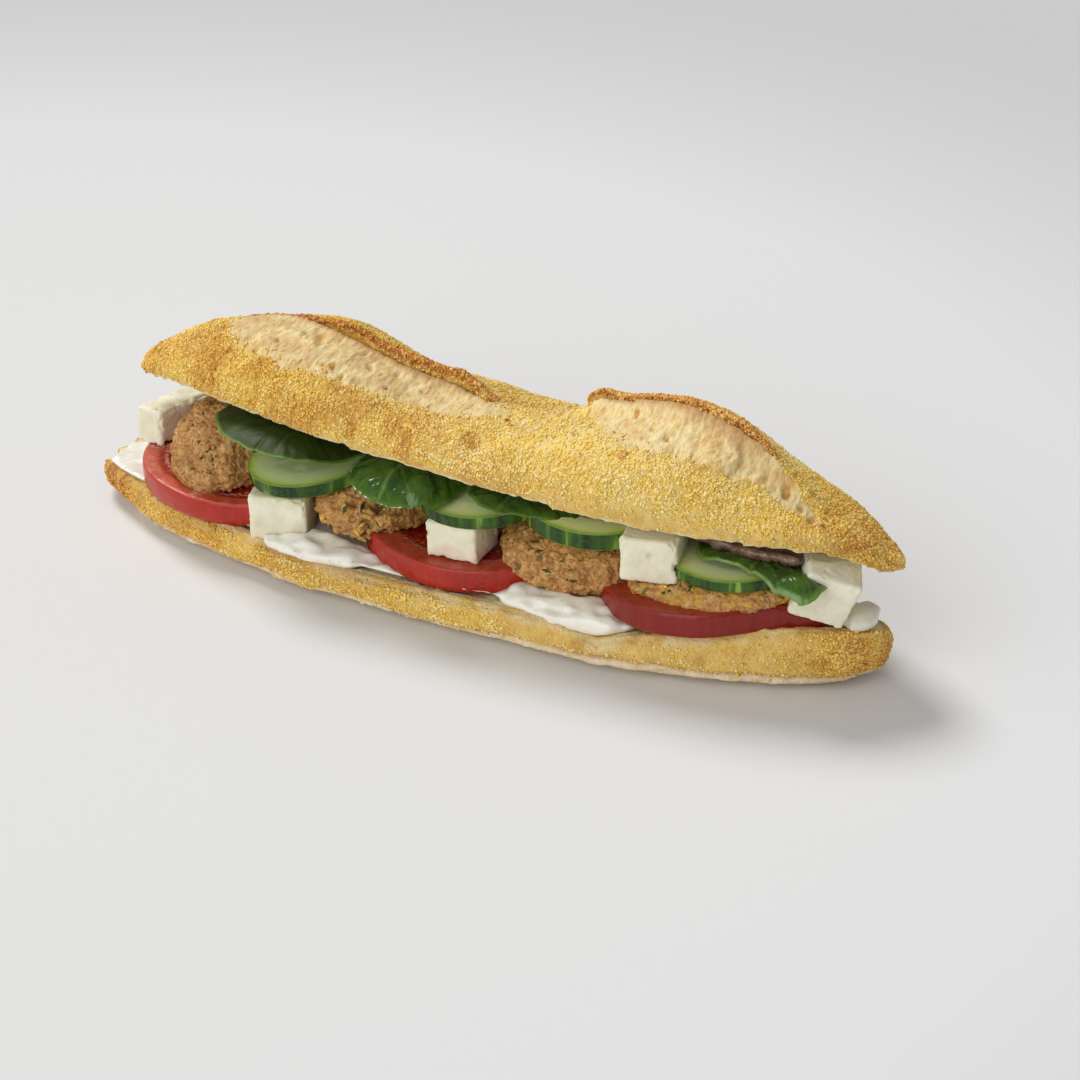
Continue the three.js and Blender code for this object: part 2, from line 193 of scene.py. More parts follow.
def neighbour_mean(values, edges, count):
    """For each vertex, the mean of a value (n,) or (n, k) over its neighbours."""
    a = np.concatenate([edges[:, 0], edges[:, 1]])
    b = np.concatenate([edges[:, 1], edges[:, 0]])
    degree = np.maximum(np.bincount(a, minlength=count), 1)
    if values.ndim == 1:
        return np.bincount(a, values[b], count) / degree
    return np.stack([np.bincount(a, v[b], count) / degree for v in values.T], 1)


def relax(mesh, rounds, keep=0.53):
    """Smooths a mesh. Each pull in is followed by a push out, so that it hardly shrinks."""
    p = points_of(mesh)
    edges = edges_of(mesh)
    for _ in range(rounds):
        for step in (0.5, -keep):
            p = p + step * (neighbour_mean(p, edges, len(p)) - p)
    set_points(mesh, p)


def blurred(mesh, values, rounds):
    edges = edges_of(mesh)
    for _ in range(rounds):
        values = 0.5 * values + 0.5 * neighbour_mean(values, edges, len(values))
    return values


def attributes(mesh, **values):
    """Writes what the mesh's material reads by name, each one number or one for each vertex."""
    for name, value in values.items():
        layer = mesh.attributes.new(name, "FLOAT", "POINT")
        layer.data.foreach_set("value", np.full(len(mesh.vertices), value, np.float32))


def new_object(name, mesh):
    piece = bpy.data.objects.new(name, mesh)
    bpy.context.scene.collection.objects.link(piece)
    return piece


def shaded(mesh, smoothly=True):
    mesh.polygons.foreach_set("use_smooth", np.full(len(mesh.polygons), smoothly))
    return mesh


def mesh_from(name, points, faces):
    """A smooth-shaded mesh from points in mm and rows of faces, of three or four corners each."""
    sizes = np.fromiter(map(len, faces), np.int32, len(faces))
    mesh = bpy.data.meshes.new(name)
    mesh.vertices.add(len(points))
    mesh.loops.add(int(sizes.sum()))
    mesh.polygons.add(len(faces))
    mesh.loops.foreach_set("vertex_index", np.fromiter(itertools.chain.from_iterable(faces), np.int32))
    mesh.polygons.foreach_set("loop_start", np.cumsum(sizes, dtype=np.int32) - sizes)
    set_points(mesh, np.asarray(points, float))
    shaded(mesh)
    mesh.update(calc_edges=True)
    mesh.validate()
    return mesh


def with_modifiers(mesh, *settings):
    """The mesh after a row of modifiers, each given as (kind, values)."""
    piece = new_object("working", mesh)
    for kind, values in settings:
        modifier = piece.modifiers.new(kind.lower(), kind)
        for name, value in values.items():
            setattr(modifier, name, value)
    graph = bpy.context.evaluated_depsgraph_get()
    made = bpy.data.meshes.new_from_object(piece.evaluated_get(graph))
    bpy.data.objects.remove(piece)
    return made


def subdivided(mesh):
    return shaded(with_modifiers(mesh, ("SUBSURF", {"levels": 1, "render_levels": 1})))


def remeshed(node, voxel, rounds, finer=False):
    """An even, smoothed mesh of a CAD node, its points and its normals. voxel is in mm, and rounds is how
    often it is smoothed."""
    mesh = with_modifiers(
        NODES[node].data.copy(),
        ("WELD", {"merge_threshold": 1e-5}),
        ("REMESH", {"mode": "VOXEL", "voxel_size": voxel * MM, "use_smooth_shade": True}),
    )
    relax(mesh, rounds)
    mesh = subdivided(mesh) if finer else shaded(mesh)
    mesh.name = node
    return mesh, points_of(mesh), normals_of(mesh)


def tree_of(node):
    mesh = NODES[node].data
    return BVHTree.FromPolygons([v.co for v in mesh.vertices], [f.vertices for f in mesh.polygons])


# Rays to the CAD pieces start this far from their middles, in mm.
RAY_START = 80.0


def hit_point(tree, start, direction):
    """Where a ray first meets a CAD node, in mm, or None where it misses."""
    hit = tree.ray_cast(Vector(start * MM), Vector(direction))[0]
    return np.array(hit) / MM if hit else None


def cad_points(node):
    return points_of(NODES[node].data)


def face_table(node):
    """The middles, unit normals and areas of a CAD node's faces, in mm."""
    mesh = NODES[node].data
    middles = np.array([f.center for f in mesh.polygons]) / MM
    normals = np.array([f.normal for f in mesh.polygons])
    areas = np.array([f.area for f in mesh.polygons]) / MM**2
    return middles, normals, areas


class Place:
    """A local frame: a middle, and axes along the loaf, across it and along the normal."""

    def __init__(self, middle, normal):
        self.middle = np.asarray(middle, float)
        self.normal = unit(np.asarray(normal, float))
        self.along = unit(ALONG - self.normal * (ALONG @ self.normal))
        self.across = np.cross(self.normal, self.along)
        self.axes = np.stack([self.along, self.across, self.normal], 1)

    def local(self, points):
        return (points - self.middle) @ self.axes

    def turned(self, directions):
        return directions @ self.axes

    def world(self, points):
        return np.asarray(points) @ self.axes.T + self.middle


def slab_place(node):
    """The local frame of a flat CAD piece."""
    _, normals, areas = face_table(node)
    flat = normals[:, 2] > 0.8
    normal = unit((normals[flat] * areas[flat, None]).sum(0))
    co = cad_points(node)
    place = Place((co.max(0) + co.min(0)) / 2, normal)
    local = place.local(co)
    place.middle = place.world((local.max(0) + local.min(0)) / 2)
    return place


def lid_place():
    """The local frame of the top half: its origin is the middle of its cut face."""
    middles, normals, areas = face_table("bread_top")
    down = normals[:, 2] < -0.85
    normal = -unit((normals[down] * areas[down, None]).sum(0))
    co = cad_points("bread_top")
    place = Place(co.mean(0), normal)
    local = place.local(co)
    middle = (local.max(0) + local.min(0)) / 2
    middle[2] = np.median(place.local(middles[down])[:, 2])
    place.middle = place.world(middle)
    return place


LID = lid_place()


def piece_of(name, mesh, material, slot, *nodes):
    """Makes a mesh a piece of the object, shown in place of the CAD nodes named."""
    piece = new_object(name, mesh)
    mesh.materials.clear()
    mesh.materials.append(material)
    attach(piece, "root")
    if nodes:
        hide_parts(*nodes)
    return piece


# ---------------------------------------------------------------- materials


def linear(colour):
    """A colour as the linear one that shaders take."""
    shares = [c / 255 for c in colour]
    return (*(c / 12.92 if c <= 0.04045 else ((c + 0.055) / 1.055) ** 2.4 for c in shares), 1.0)


PLAIN_INPUTS = {
    "specular": "Specular IOR Level",
    "coat": "Coat Weight",
    "coat_roughness": "Coat Roughness",
}


class Shader:
    """A material built from a few kinds of nodes. Each method returns the socket that it makes."""

    def __init__(self, name):
        self.material = bpy.data.materials.new(name)
        self.material.use_nodes = True
        self.tree = self.material.node_tree
        self.surface = self.tree.nodes["Principled BSDF"]
        where = self.tree.nodes.new("ShaderNodeTexCoord").outputs["Object"]
        self.where = self.make("ShaderNodeVectorMath", {0: where, 3: 1 / MM}, operation="SCALE")

    def make(self, kind, inputs, output=0, **settings):
        node = self.tree.nodes.new(kind)
        for name, value in settings.items():
            setattr(node, name, value)
        for name, value in inputs.items():
            self.set(node.inputs[name], value)
        return node.outputs[output]

    def set(self, socket, value):
        if isinstance(value, bpy.types.NodeSocket):
            self.tree.links.new(value, socket)
        else:
            socket.default_value = value

    def attribute(self, name):
        return self.make("ShaderNodeAttribute", {}, "Fac", attribute_name=name)

    def noise(self, size, detail=3, rough=0.55, stretch=None, distortion=0.0):
        """Noise from 0 to 1 with swells of this size in mm."""
        where = self.where
        if stretch:
            where = self.make("ShaderNodeVectorMath", {0: where, 1: stretch}, operation="MULTIPLY")
        values = {"Vector": where, "Scale": 1 / size, "Detail": detail, "Roughness": rough}
        return self.make("ShaderNodeTexNoise", {**values, "Distortion": distortion})

    def cells(self, size, output="Distance"):
        """Scattered cells of this size in mm: the distance from the nearest one's middle, or its colour."""
        return self.make("ShaderNodeTexVoronoi", {"Vector": self.where, "Scale": 1 / size}, output)

    def red(self, colour):
        return self.make("ShaderNodeSeparateColor", {"Color": colour})

    def ramp(self, value, *stops):
        """Colours along a line: each stop is (place, colour)."""
        node = self.tree.nodes.new("ShaderNodeValToRGB")
        self.set(node.inputs[0], value)
        elements = node.color_ramp.elements
        while len(elements) < len(stops):
            elements.new(0.5)
        for element, (place, colour) in zip(elements, stops):
            element.position = place
            element.color = linear(colour)
        return node.outputs[0]

    def mix(self, share, a, b):
        """Colour a, with a share of colour b over it."""
        a, b = (linear(colour) if isinstance(colour, tuple) else colour for colour in (a, b))
        return self.make("ShaderNodeMix", {0: share, 6: a, 7: b}, 2, data_type="RGBA")

    def math(self, operation, a, b):
        return self.make("ShaderNodeMath", {0: a, 1: b}, operation=operation)

    def times(self, a, b):
        return self.math("MULTIPLY", a, b)

    def plus(self, a, b):
        return self.math("ADD", a, b)

    def range(self, value, low, high, to_low=0.0, to_high=1.0):
        """A number moved from one range to another and held inside it."""
        values = {"Value": value, "From Min": low, "From Max": high, "To Min": to_low, "To Max": to_high}
        return self.make("ShaderNodeMapRange", values, interpolation_type="SMOOTHSTEP")

    def bump(self, height, depth):
        """A normal for a relief of this depth in mm."""
        return self.make("ShaderNodeBump", {"Height": height, "Distance": depth * MM, "Strength": 1.0})

    def soft_inside(self, weight, radius, scale):
        """Light that goes into the surface and comes out beside it. radius is for red, green and blue."""
        self.surface.inputs["Subsurface Weight"].default_value = weight
        self.surface.inputs["Subsurface Radius"].default_value = radius
        self.surface.inputs["Subsurface Scale"].default_value = scale * MM

    def finish(self, colour, roughness, normal=None, **plain):
        """Sets the surface. plain gives further inputs, each one number for the whole surface."""
        self.set(self.surface.inputs["Base Color"], colour)
        self.set(self.surface.inputs["Roughness"], roughness)
        if normal is not None:
            self.set(self.surface.inputs["Normal"], normal)
        for name, value in plain.items():
            self.surface.inputs[PLAIN_INPUTS[name]].default_value = value
        return self.material


# ---------------------------------------------------------------- bread

CRUST_GOLD = (220, 173, 78)
CRUST_TAN = (236, 200, 118)
CRUST_DEEP = (203, 147, 57)
CRUST_BROWN = (164, 98, 46)
DOUGH = (232, 208, 148)
DOUGH_SHADE = (208, 170, 100)
CRUMB = (242, 230, 194)
FLOUR = (244, 230, 204)

# The two scores in the top half's own frame, seen from above, in mm: the line of the foot of the raised ear,
# the border of the opened dough, and how softly that border starts out; the stretch in which the ear stands
# up, the height of its crest over the cut face along that stretch, and how much the dough below it is raised.
SCORES = [
    {
        "foot": [
            (-92, -2), (-80, 0), (-70, -2.8), (-60, -5.6), (-48, -7.9), (-30, -9.4), (-8, -10.6), (8, -12.2),
        ],
        "border": [
            (-92, -6), (-88, -13), (-80, -18), (-62, -23.5), (-46, -26), (-30, -22.5), (-10, -21), (2, -17.5),
            (8, -12.5),
        ],
        "soft": [(-92, 1.6), (-60, 0.9), (8, 1.1)],
        "ear": (-97, 4),
        "crest": [
            (-97, 18), (-90, 21.2), (-80, 23.6), (-67, 26.2), (-55, 28.0), (-48, 28.3), (-37, 25.0),
            (-25, 24.2), (-9, 24.4), (4, 24),
        ],
        "lift": [(-94, 1.2), (-56, 1.2), (-44, 0.2), (14, 0)],
    },
    {
        "foot": [(25, 2), (30, 1), (41, -2.6), (56, -7), (69, -10), (79, -11.6), (96, -12.6), (106, -14)],
        "border": [
            (25, 1), (30, -7), (41, -18.5), (54, -24), (65, -22.4), (74, -20.6), (86, -18), (106, -14.5),
        ],
        "soft": [(25, 4.5), (40, 4), (56, 1.1), (106, 0.9)],
        "ear": (22, 92),
        "crest": [
            (22, 23.5), (26, 27.0), (29, 27.3), (33, 25.6), (43, 29.2), (55, 31.7), (66, 32.4), (76, 31.0),
            (82, 28.4), (88, 26), (96, 23),
        ],
        "lift": [(18, 0.8), (60, 1.2), (73, 0.2), (112, 0)],
    },
]

# Places in the same frame. The open bubbles in the dough, as (along, across, half length, half width).
BUBBLES = [
    (-57.4, -12.1, 3.2, 1.5), (-50.4, -21.3, 1.1, 0.7), (-47.5, -20.4, 1.6, 0.8), (-43.1, -22.5, 1.3, 0.8),
    (-64, -9.5, 1.4, 0.6), (-38, -15, 1.6, 0.7), (-30, -19, 1.2, 0.6), (-70, -15, 1.1, 0.5),
    (43.4, -6.2, 2.0, 0.8), (51.5, -13.3, 1.5, 0.7), (58, -17, 1.0, 0.5), (-21, -14, 1.1, 0.5),
]
# A blister in the second score, in the same way, and the cracks in the crust near the left end, along it.
BLISTER = (73.5, -15.5, 6.0, 5.0)
CRACKS = (-97, -81.5)
# Small torn holes beyond the second score, and toasted spots on the crust: (along, across, radius, strength).
TORN_HOLES = [
    (93.5, -13.5, 1.5, 0.8), (98.5, -14.2, 1.3, 0.9), (102.5, -15, 1.4, 0.8), (106, -14.5, 1.0, 0.7),
]
SPOTS = [
    (-92.4, -8.7, 1.6, 1.0), (-83.4, -18.7, 1.3, 0.8), (-86, -20, 2.6, 0.5), (3.7, -28.3, 4.0, 0.5),
    (-32.6, -31.9, 2.5, 0.5), (-14.4, -32.5, 3.5, 0.45), (31.2, -19.1, 1.6, 0.6), (49, -24.8, 1.7, 0.6),
    (10.4, -18.2, 1.1, 0.9), (8.6, -16.2, 1.3, 0.9), (62, 12, 3.0, 0.4), (-20, 20, 4.0, 0.4),
    (-70, 18, 3.0, 0.4),
]
# How far the rim of the top half is drawn up at the front, in mm, along the same frame.
RIM_RISE = [(50, 0), (74, 1.2), (90, 2.6), (112, 3.2), (122, 0.8), (128, 0)]
# How much the crust rim of the bottom half stands over its cut face along its front, in mm. It has worn away
# where the sauce runs over it.
FRONT_LIP = [
    (-131, 1.0), (-110, 1.3), (-62, 1.4), (-45, 0.4), (-16, 0.8), (12, 1.2), (38, 0.2), (56, 0), (66, 1.8),
    (80, 2.4), (102, 2.4), (118, 1.2), (131, 0.2),
]
# How many grains of cornmeal lie on each half, and on each ear.
TOP_GRAINS = 33000
BOTTOM_GRAINS = 8000
EAR_GRAINS = 4200


def crust_material():
    """The bread's one material. Each look lies over the ones before it, by the share that the mesh holds."""
    s = Shader("cornmeal_crust")
    fine = s.noise(0.9, 3, 0.6)
    meal = s.cells(0.85)
    shade_of_grain = s.red(s.cells(0.85, "Color"))
    base = s.ramp(s.noise(8, 4, 0.6), (0.3, CRUST_DEEP), (0.46, CRUST_GOLD), (0.68, CRUST_TAN))
    lumps = s.noise(3.5, 4, 0.6)
    powder = s.ramp(lumps, (0.38, (246, 208, 92)), (0.5, (248, 222, 134)), (0.62, (246, 228, 172)))
    base = s.mix(s.attribute("yellow"), base, powder)
    base = s.mix(s.range(shade_of_grain, 0.3, 0.9, 0, 0.5), base, (254, 222, 122))
    # The gaps between the meal's cells are darkened: painted shade between the grains.
    base = s.mix(s.range(meal, 0.5, 0.8, 0, 0.3), base, CRUST_DEEP)
    pale = s.ramp(s.noise(3, 3), (0.35, (208, 170, 92)), (0.65, (228, 194, 120)))
    base = s.mix(s.attribute("pale"), base, pale)

    strands = s.noise(0.9, 4, 0.65, stretch=(1.0, 0.3, 0.3), distortion=0.6)
    dough = s.ramp(strands, (0.32, DOUGH_SHADE), (0.48, DOUGH), (0.7, (246, 230, 186)))
    blushing = s.range(s.noise(7, 3, 0.6), 0.45, 0.66, 0, 0.7)
    dough = s.mix(s.times(blushing, s.range(strands, 0.65, 0.35, 0.4, 1)), dough, (214, 166, 96))
    base = s.mix(s.attribute("dough"), base, dough)
    torn = s.noise(1.3, 5, 0.75)
    wall = s.ramp(torn, (0.34, (148, 88, 34)), (0.46, (210, 154, 72)), (0.62, (238, 198, 114)))
    # The torn wall's own colour, which also darkens the dough's bubbles and the torn holes as painted shade.
    base = s.mix(s.attribute("wall"), base, wall)
    floured = s.ramp(s.noise(2.5, 4, 0.6), (0.3, (214, 190, 148)), (0.5, (234, 216, 184)), (0.7, FLOUR))
    base = s.mix(s.attribute("flour"), base, floured)
    crumb = s.ramp(s.noise(1.8, 4), (0.3, (230, 210, 160)), (0.7, CRUMB))
    base = s.mix(s.attribute("cut"), base, crumb)
    brown = s.ramp(s.noise(1.4, 4, 0.65), (0.3, (124, 66, 30)), (0.5, CRUST_BROWN), (0.75, (210, 144, 74)))
    # The brown look is toasting, and it also carries painted shade: at the ears' feet, in the ears' holes and
    # hollows, in the torn holes, and in the bottom half's crease and slits.
    base = s.mix(s.attribute("brown"), base, brown)

    relief = s.plus(s.times(meal, -0.8), fine)
    normal = s.bump(s.times(relief, s.range(s.attribute("dough"), 0, 1, 1, 0.4)), 0.3)
    s.soft_inside(0.12, (1.0, 0.5, 0.2), 1.5)
    return s.finish(base, s.range(fine, 0.3, 0.7, 0.8, 0.55), normal, specular=0.2)


def grain_material():
    s = Shader("cornmeal_grains")
    tint = s.attribute("tint")
    golden = s.ramp(
        tint,
        (0.0, (218, 160, 58)),
        (0.3, (242, 199, 87)),
        (0.6, (253, 220, 115)),
        (0.85, (255, 232, 150)),
        (1.0, (255, 240, 184)),
    )
    toasted = s.ramp(tint, (0.0, (172, 94, 34)), (0.5, (222, 148, 62)), (1.0, (250, 210, 130)))
    colour = s.mix(s.attribute("toast"), golden, toasted)
    return s.finish(colour, 0.5, s.bump(s.noise(0.4), 0.08), specular=0.2)


def crust_attributes(mesh, **shares):
    """Writes how much of each look every vertex of the bread has. What isn't given is 0."""
    looks = ("dough", "cut", "brown", "pale", "flour", "wall", "yellow")
    attributes(mesh, **{look: np.clip(shares.get(look, 0.0), 0, 1) for look in looks})


def spot_share(q, spots):
    """How far each point lies inside round spots, given as (along, across, radius, strength)."""
    share = np.zeros(len(q))
    for along, across, radius, strength in spots:
        away = np.hypot(q[:, 0] - along, q[:, 1] - across) / radius + 0.35 * noise(q, 1.6, 19)
        share = np.maximum(share, strength * smooth(away, 1.0, 0.45))
    return share


def score_marks(q, normal):
    """For points in the top half's frame: the share of opened dough, how far each lies behind its ear's foot,
    how much ear there is along the loaf, how far across the dough it lies, from 0 at its border to 1, and how
    much the dough is raised there."""
    wobble = 1.6 * noise(q, 7, 3) + 1.2 * noise(q, 2.6, 4) + 0.7 * noise(q, 1.1, 5)
    dough, ear, across, lift = np.zeros((4, len(q)))
    behind = np.full(len(q), -99.0)
    x, y, _ = q.T
    for score in SCORES:
        foot = curve(score["foot"])(x)
        border = curve(score["border"])(x)
        start, end = score["foot"][0][0], score["foot"][-1][0]
        inside = smooth(x, start - 1, start + 2) * smooth(x, end + 1, end - 3)
        soft = curve(score["soft"])(x)
        edge = smooth((y - border + wobble) / soft, -1, 1) * smooth(y - foot, 1.4, 0.6)
        dough = np.maximum(dough, edge * inside * smooth(normal[:, 2], -0.1, 0.1))
        near = (x > start - 6) & (x < end + 6)
        behind = np.where(near, y - foot, behind)
        ear = np.maximum(ear, ear_share(score, x))
        share = np.clip((y - border) / np.maximum(foot - border, 1), 0, 1)
        across = np.where(near, share, across)
        lift = np.where(near, curve(score["lift"])(x) * smooth(share, 0.3, 1.0), lift)
    return dough, behind, ear, across, lift


def ear_share(score, along):
    first, last = score["ear"]
    return smooth(along, first, first + 12) * smooth(along, last, last - 16)


def dough_relief(q, across):
    """The pulled threads, folds and bubbles of the opened dough, in mm."""
    bent = q + np.stack([1.2 * noise(q, 5, 61), 0 * across, 0 * across], 1)
    threads = 1 - 2 * np.abs(fractal(bent, (1.5, 6, 6), 2, 6))
    folds = fractal(bent, (3.5, 9, 9), 2, 7)
    rise = 0.34 * threads + 0.5 * folds + 0.5 * np.sin(math.pi * across) - 0.25
    open_share = np.zeros(len(q))
    for along, side, length, width in BUBBLES:
        d = q[:, :2] - (along, side)
        # The bubbles are pulled long across the loaf, a little aslant.
        u, v = d[:, 1] * 0.94 - d[:, 0] * 0.34, d[:, 0] * 0.94 + d[:, 1] * 0.34
        away = np.hypot(u / length, v / width) * (1 + 0.25 * noise(q, 1.2, 8))
        open_share = np.maximum(open_share, smooth(away, 1.05, 0.6) * (0.5 + 0.5 * smooth(v, -width, width)))
    tiny = pits(q * (1.0, 0.5, 0.5), 1.9, 0.16, 3) * smooth(noise(q, 8, 9), -0.1, 0.4)
    return rise - 1.7 * open_share - 0.5 * tiny, np.maximum(open_share, 0.6 * tiny)


def build_top():
    mesh, p, n = remeshed("bread_top", voxel=1.25, rounds=5, finer=True)
    q, m = LID.local(p), LID.turned(n)
    # These are q's own columns: a change to z is one to q.
    x, y, z = q.T
    dough, behind, ear, across, lift = score_marks(q, m)
    cut = smooth(m[:, 2], -0.35, -0.7) * smooth(z, 6, 3)
    crust = (1 - dough) * (1 - cut)
    upper = smooth(m[:, 2], -0.2, 0.2)

    # The crust is sunk under the ear, whose own piece stands there.
    groove = ear * smooth(behind, 0.2, 1.2) * smooth(behind, 5.5, 3.0) * upper
    z -= 2.6 * groove
    # Near the right end the rim is drawn up at the front, over the spread.
    z += curve(RIM_RISE)(x) * smooth(y, 0, -9) * smooth(z, 12, 2)
    p = LID.world(q)

    rise = lid_swell(q) * (1 - cut)
    rise += crust * (0.4 * fractal(q, 6, 3, 2) + 0.15 * noise(q, 1.5, 5) + 0.3 * pits(q, 2.3, 0.75, 17) - 0.1)
    relief, bubbles = dough_relief(q, across)
    bubbles = bubbles * dough
    rise += dough * (relief + lift)
    rim = smooth(dough, 0.02, 0.45) * smooth(dough, 0.98, 0.55) * (1 - bump(x, 30, 18))
    rise += 0.45 * rim * (across < 0.5)
    # A blister lies in the second score, and small holes are torn beyond its end.
    along, side, length, width = BLISTER
    ring = np.hypot((x - along) / length, (y - side) / width)
    rise += dough * 1.5 * smooth(ring, 1.1, 0.7)
    torn = spot_share(q, TORN_HOLES) * upper
    rise -= 1.2 * torn
    pores = pits(q, 3.2, 0.5, 12) * cut
    rise += cut * 0.35 * fractal(q, 3, 3, 13) - 1.2 * pores
    # Fine cracks run up across the front of the crust near its left end.
    slant = x + 0.5 * y + 1.6 * noise(q, 5, 15)
    crack = sum(bump(slant, place, 0.5) for place in CRACKS) * smooth(y, -14, -18)
    rise -= 0.6 * np.clip(crack, 0, 1) * crust
    spots = spot_share(q, SPOTS) * upper
    rise -= 0.5 * spots * crust
    set_points(mesh, p + LID.world(m * rise[:, None]) - LID.middle)

    half_length = abs(x).max()
    left_tip = smooth(-x, half_length - 24, half_length - 3)
    right_tip = smooth(x, half_length - 34, half_length - 6)
    mottle = 0.55 + 0.7 * noise(q, 3.2, 22)
    toasts = [
        np.clip((0.7 * left_tip + 0.75 * right_tip) * mottle, 0, 1),
        spots,
        0.5 * smooth(noise(q, 5, 21), 0.5, 0.8) * smooth(y, 0, 8),
        0.32 * smooth(fractal(q, 13, 2, 28), -0.25, 0.35) * smooth(x, 40, 0),
    ]
    toast = np.maximum.reduce(toasts) * crust
    to_right = smooth(x, 20, 50)
    low = smooth(z + 0.8 * noise(q, 7, 26), 3.0 + 5.0 * to_right, 0.8 + 2.0 * to_right)
    low *= smooth(y, 0, -8) * (1 - right_tip) * (1 - 0.7 * left_tip)
    pale = low * 0.8 + 0.3 * smooth(noise(q, 12, 23), 0.1, 0.6)
    saddle = smooth(x, -4, 14) * smooth(x, 52, 34) * smooth(y, -32, -24)
    saddle *= smooth(noise(q, 9, 24), -0.9, -0.1)
    powdered = 0.6 * smooth(dough, 0.0, 0.3)
    # A dark brown band along the foot of each ear: painted shade under its wall.
    painted_foot_shade = 0.8 * ear * bump(behind, 0.7, 1.2) * upper
    blush = 0.5 * dough * bump(ring, 1.0, 0.16) * smooth(y, -17, -12)
    blush += 0.24 * dough * smooth(noise(q, 6, 27), -0.4, 0.4) * smooth(x, 0, -30)
    crust_attributes(
        mesh,
        dough=dough,
        cut=cut,
        # Inside the bubbles and the torn holes the crust takes the torn wall's darker colour, and the holes a
        # little brown: painted shade.
        brown=np.maximum.reduce([toast, painted_foot_shade, blush, 0.15 * torn]) * (1 - cut),
        wall=np.maximum(bubbles, 0.7 * torn) * (1 - cut),
        pale=pale * (1 - dough) * (1 - toast),
        # Towards the right the crust is paler yellow: painted light from the front right.
        yellow=np.maximum.reduce([0.9 * saddle, powdered, 0.6 * to_right]) * (1 - dough) * (1 - toast),
    )
    piece_of("top_half", mesh, CRUST, "crust", "bread_top")
    density = crust * (1 - 0.88 * low) * (1 - groove) * smooth(m[:, 2], -0.55, -0.15)
    density *= 0.45 + 0.55 * smooth(noise(q, 6, 25), -0.5, 0.3)
    density *= (1 - 0.6 * saddle) * (1 - torn)
    density += 0.12 * dough * smooth(across, 0.3, 0.0) * upper
    scatter_grains("cornmeal_top", mesh, density, toast, TOP_GRAINS, 31)
    for index, score in enumerate(SCORES, 1):
        build_ear(index, score)


def lid_swell(q):
    """The broad unevenness of the top half's crust, in mm, and how far it has sunk behind the scores."""
    sunk = 3.0 * bump(q[:, 0], -38, 17) + 2.0 * bump(q[:, 0], 84, 14)
    return 0.6 * fractal(q, 22, 2, 1) - sunk * smooth(q[:, 1], -8, 2)


def lid_height(tree, along, across):
    """The height of the CAD crust over places in the top half's frame. Beside it, it carries on evenly."""
    heights = np.full(len(along), np.nan)
    for k, (x, y) in enumerate(zip(along, across)):
        hit = hit_point(tree, LID.world((x, y, RAY_START)), -LID.normal)
        if hit is not None:
            heights[k] = LID.local(hit)[2]
    known = ~np.isnan(heights)
    return np.interp(np.arange(len(heights)), np.flatnonzero(known), heights[known])


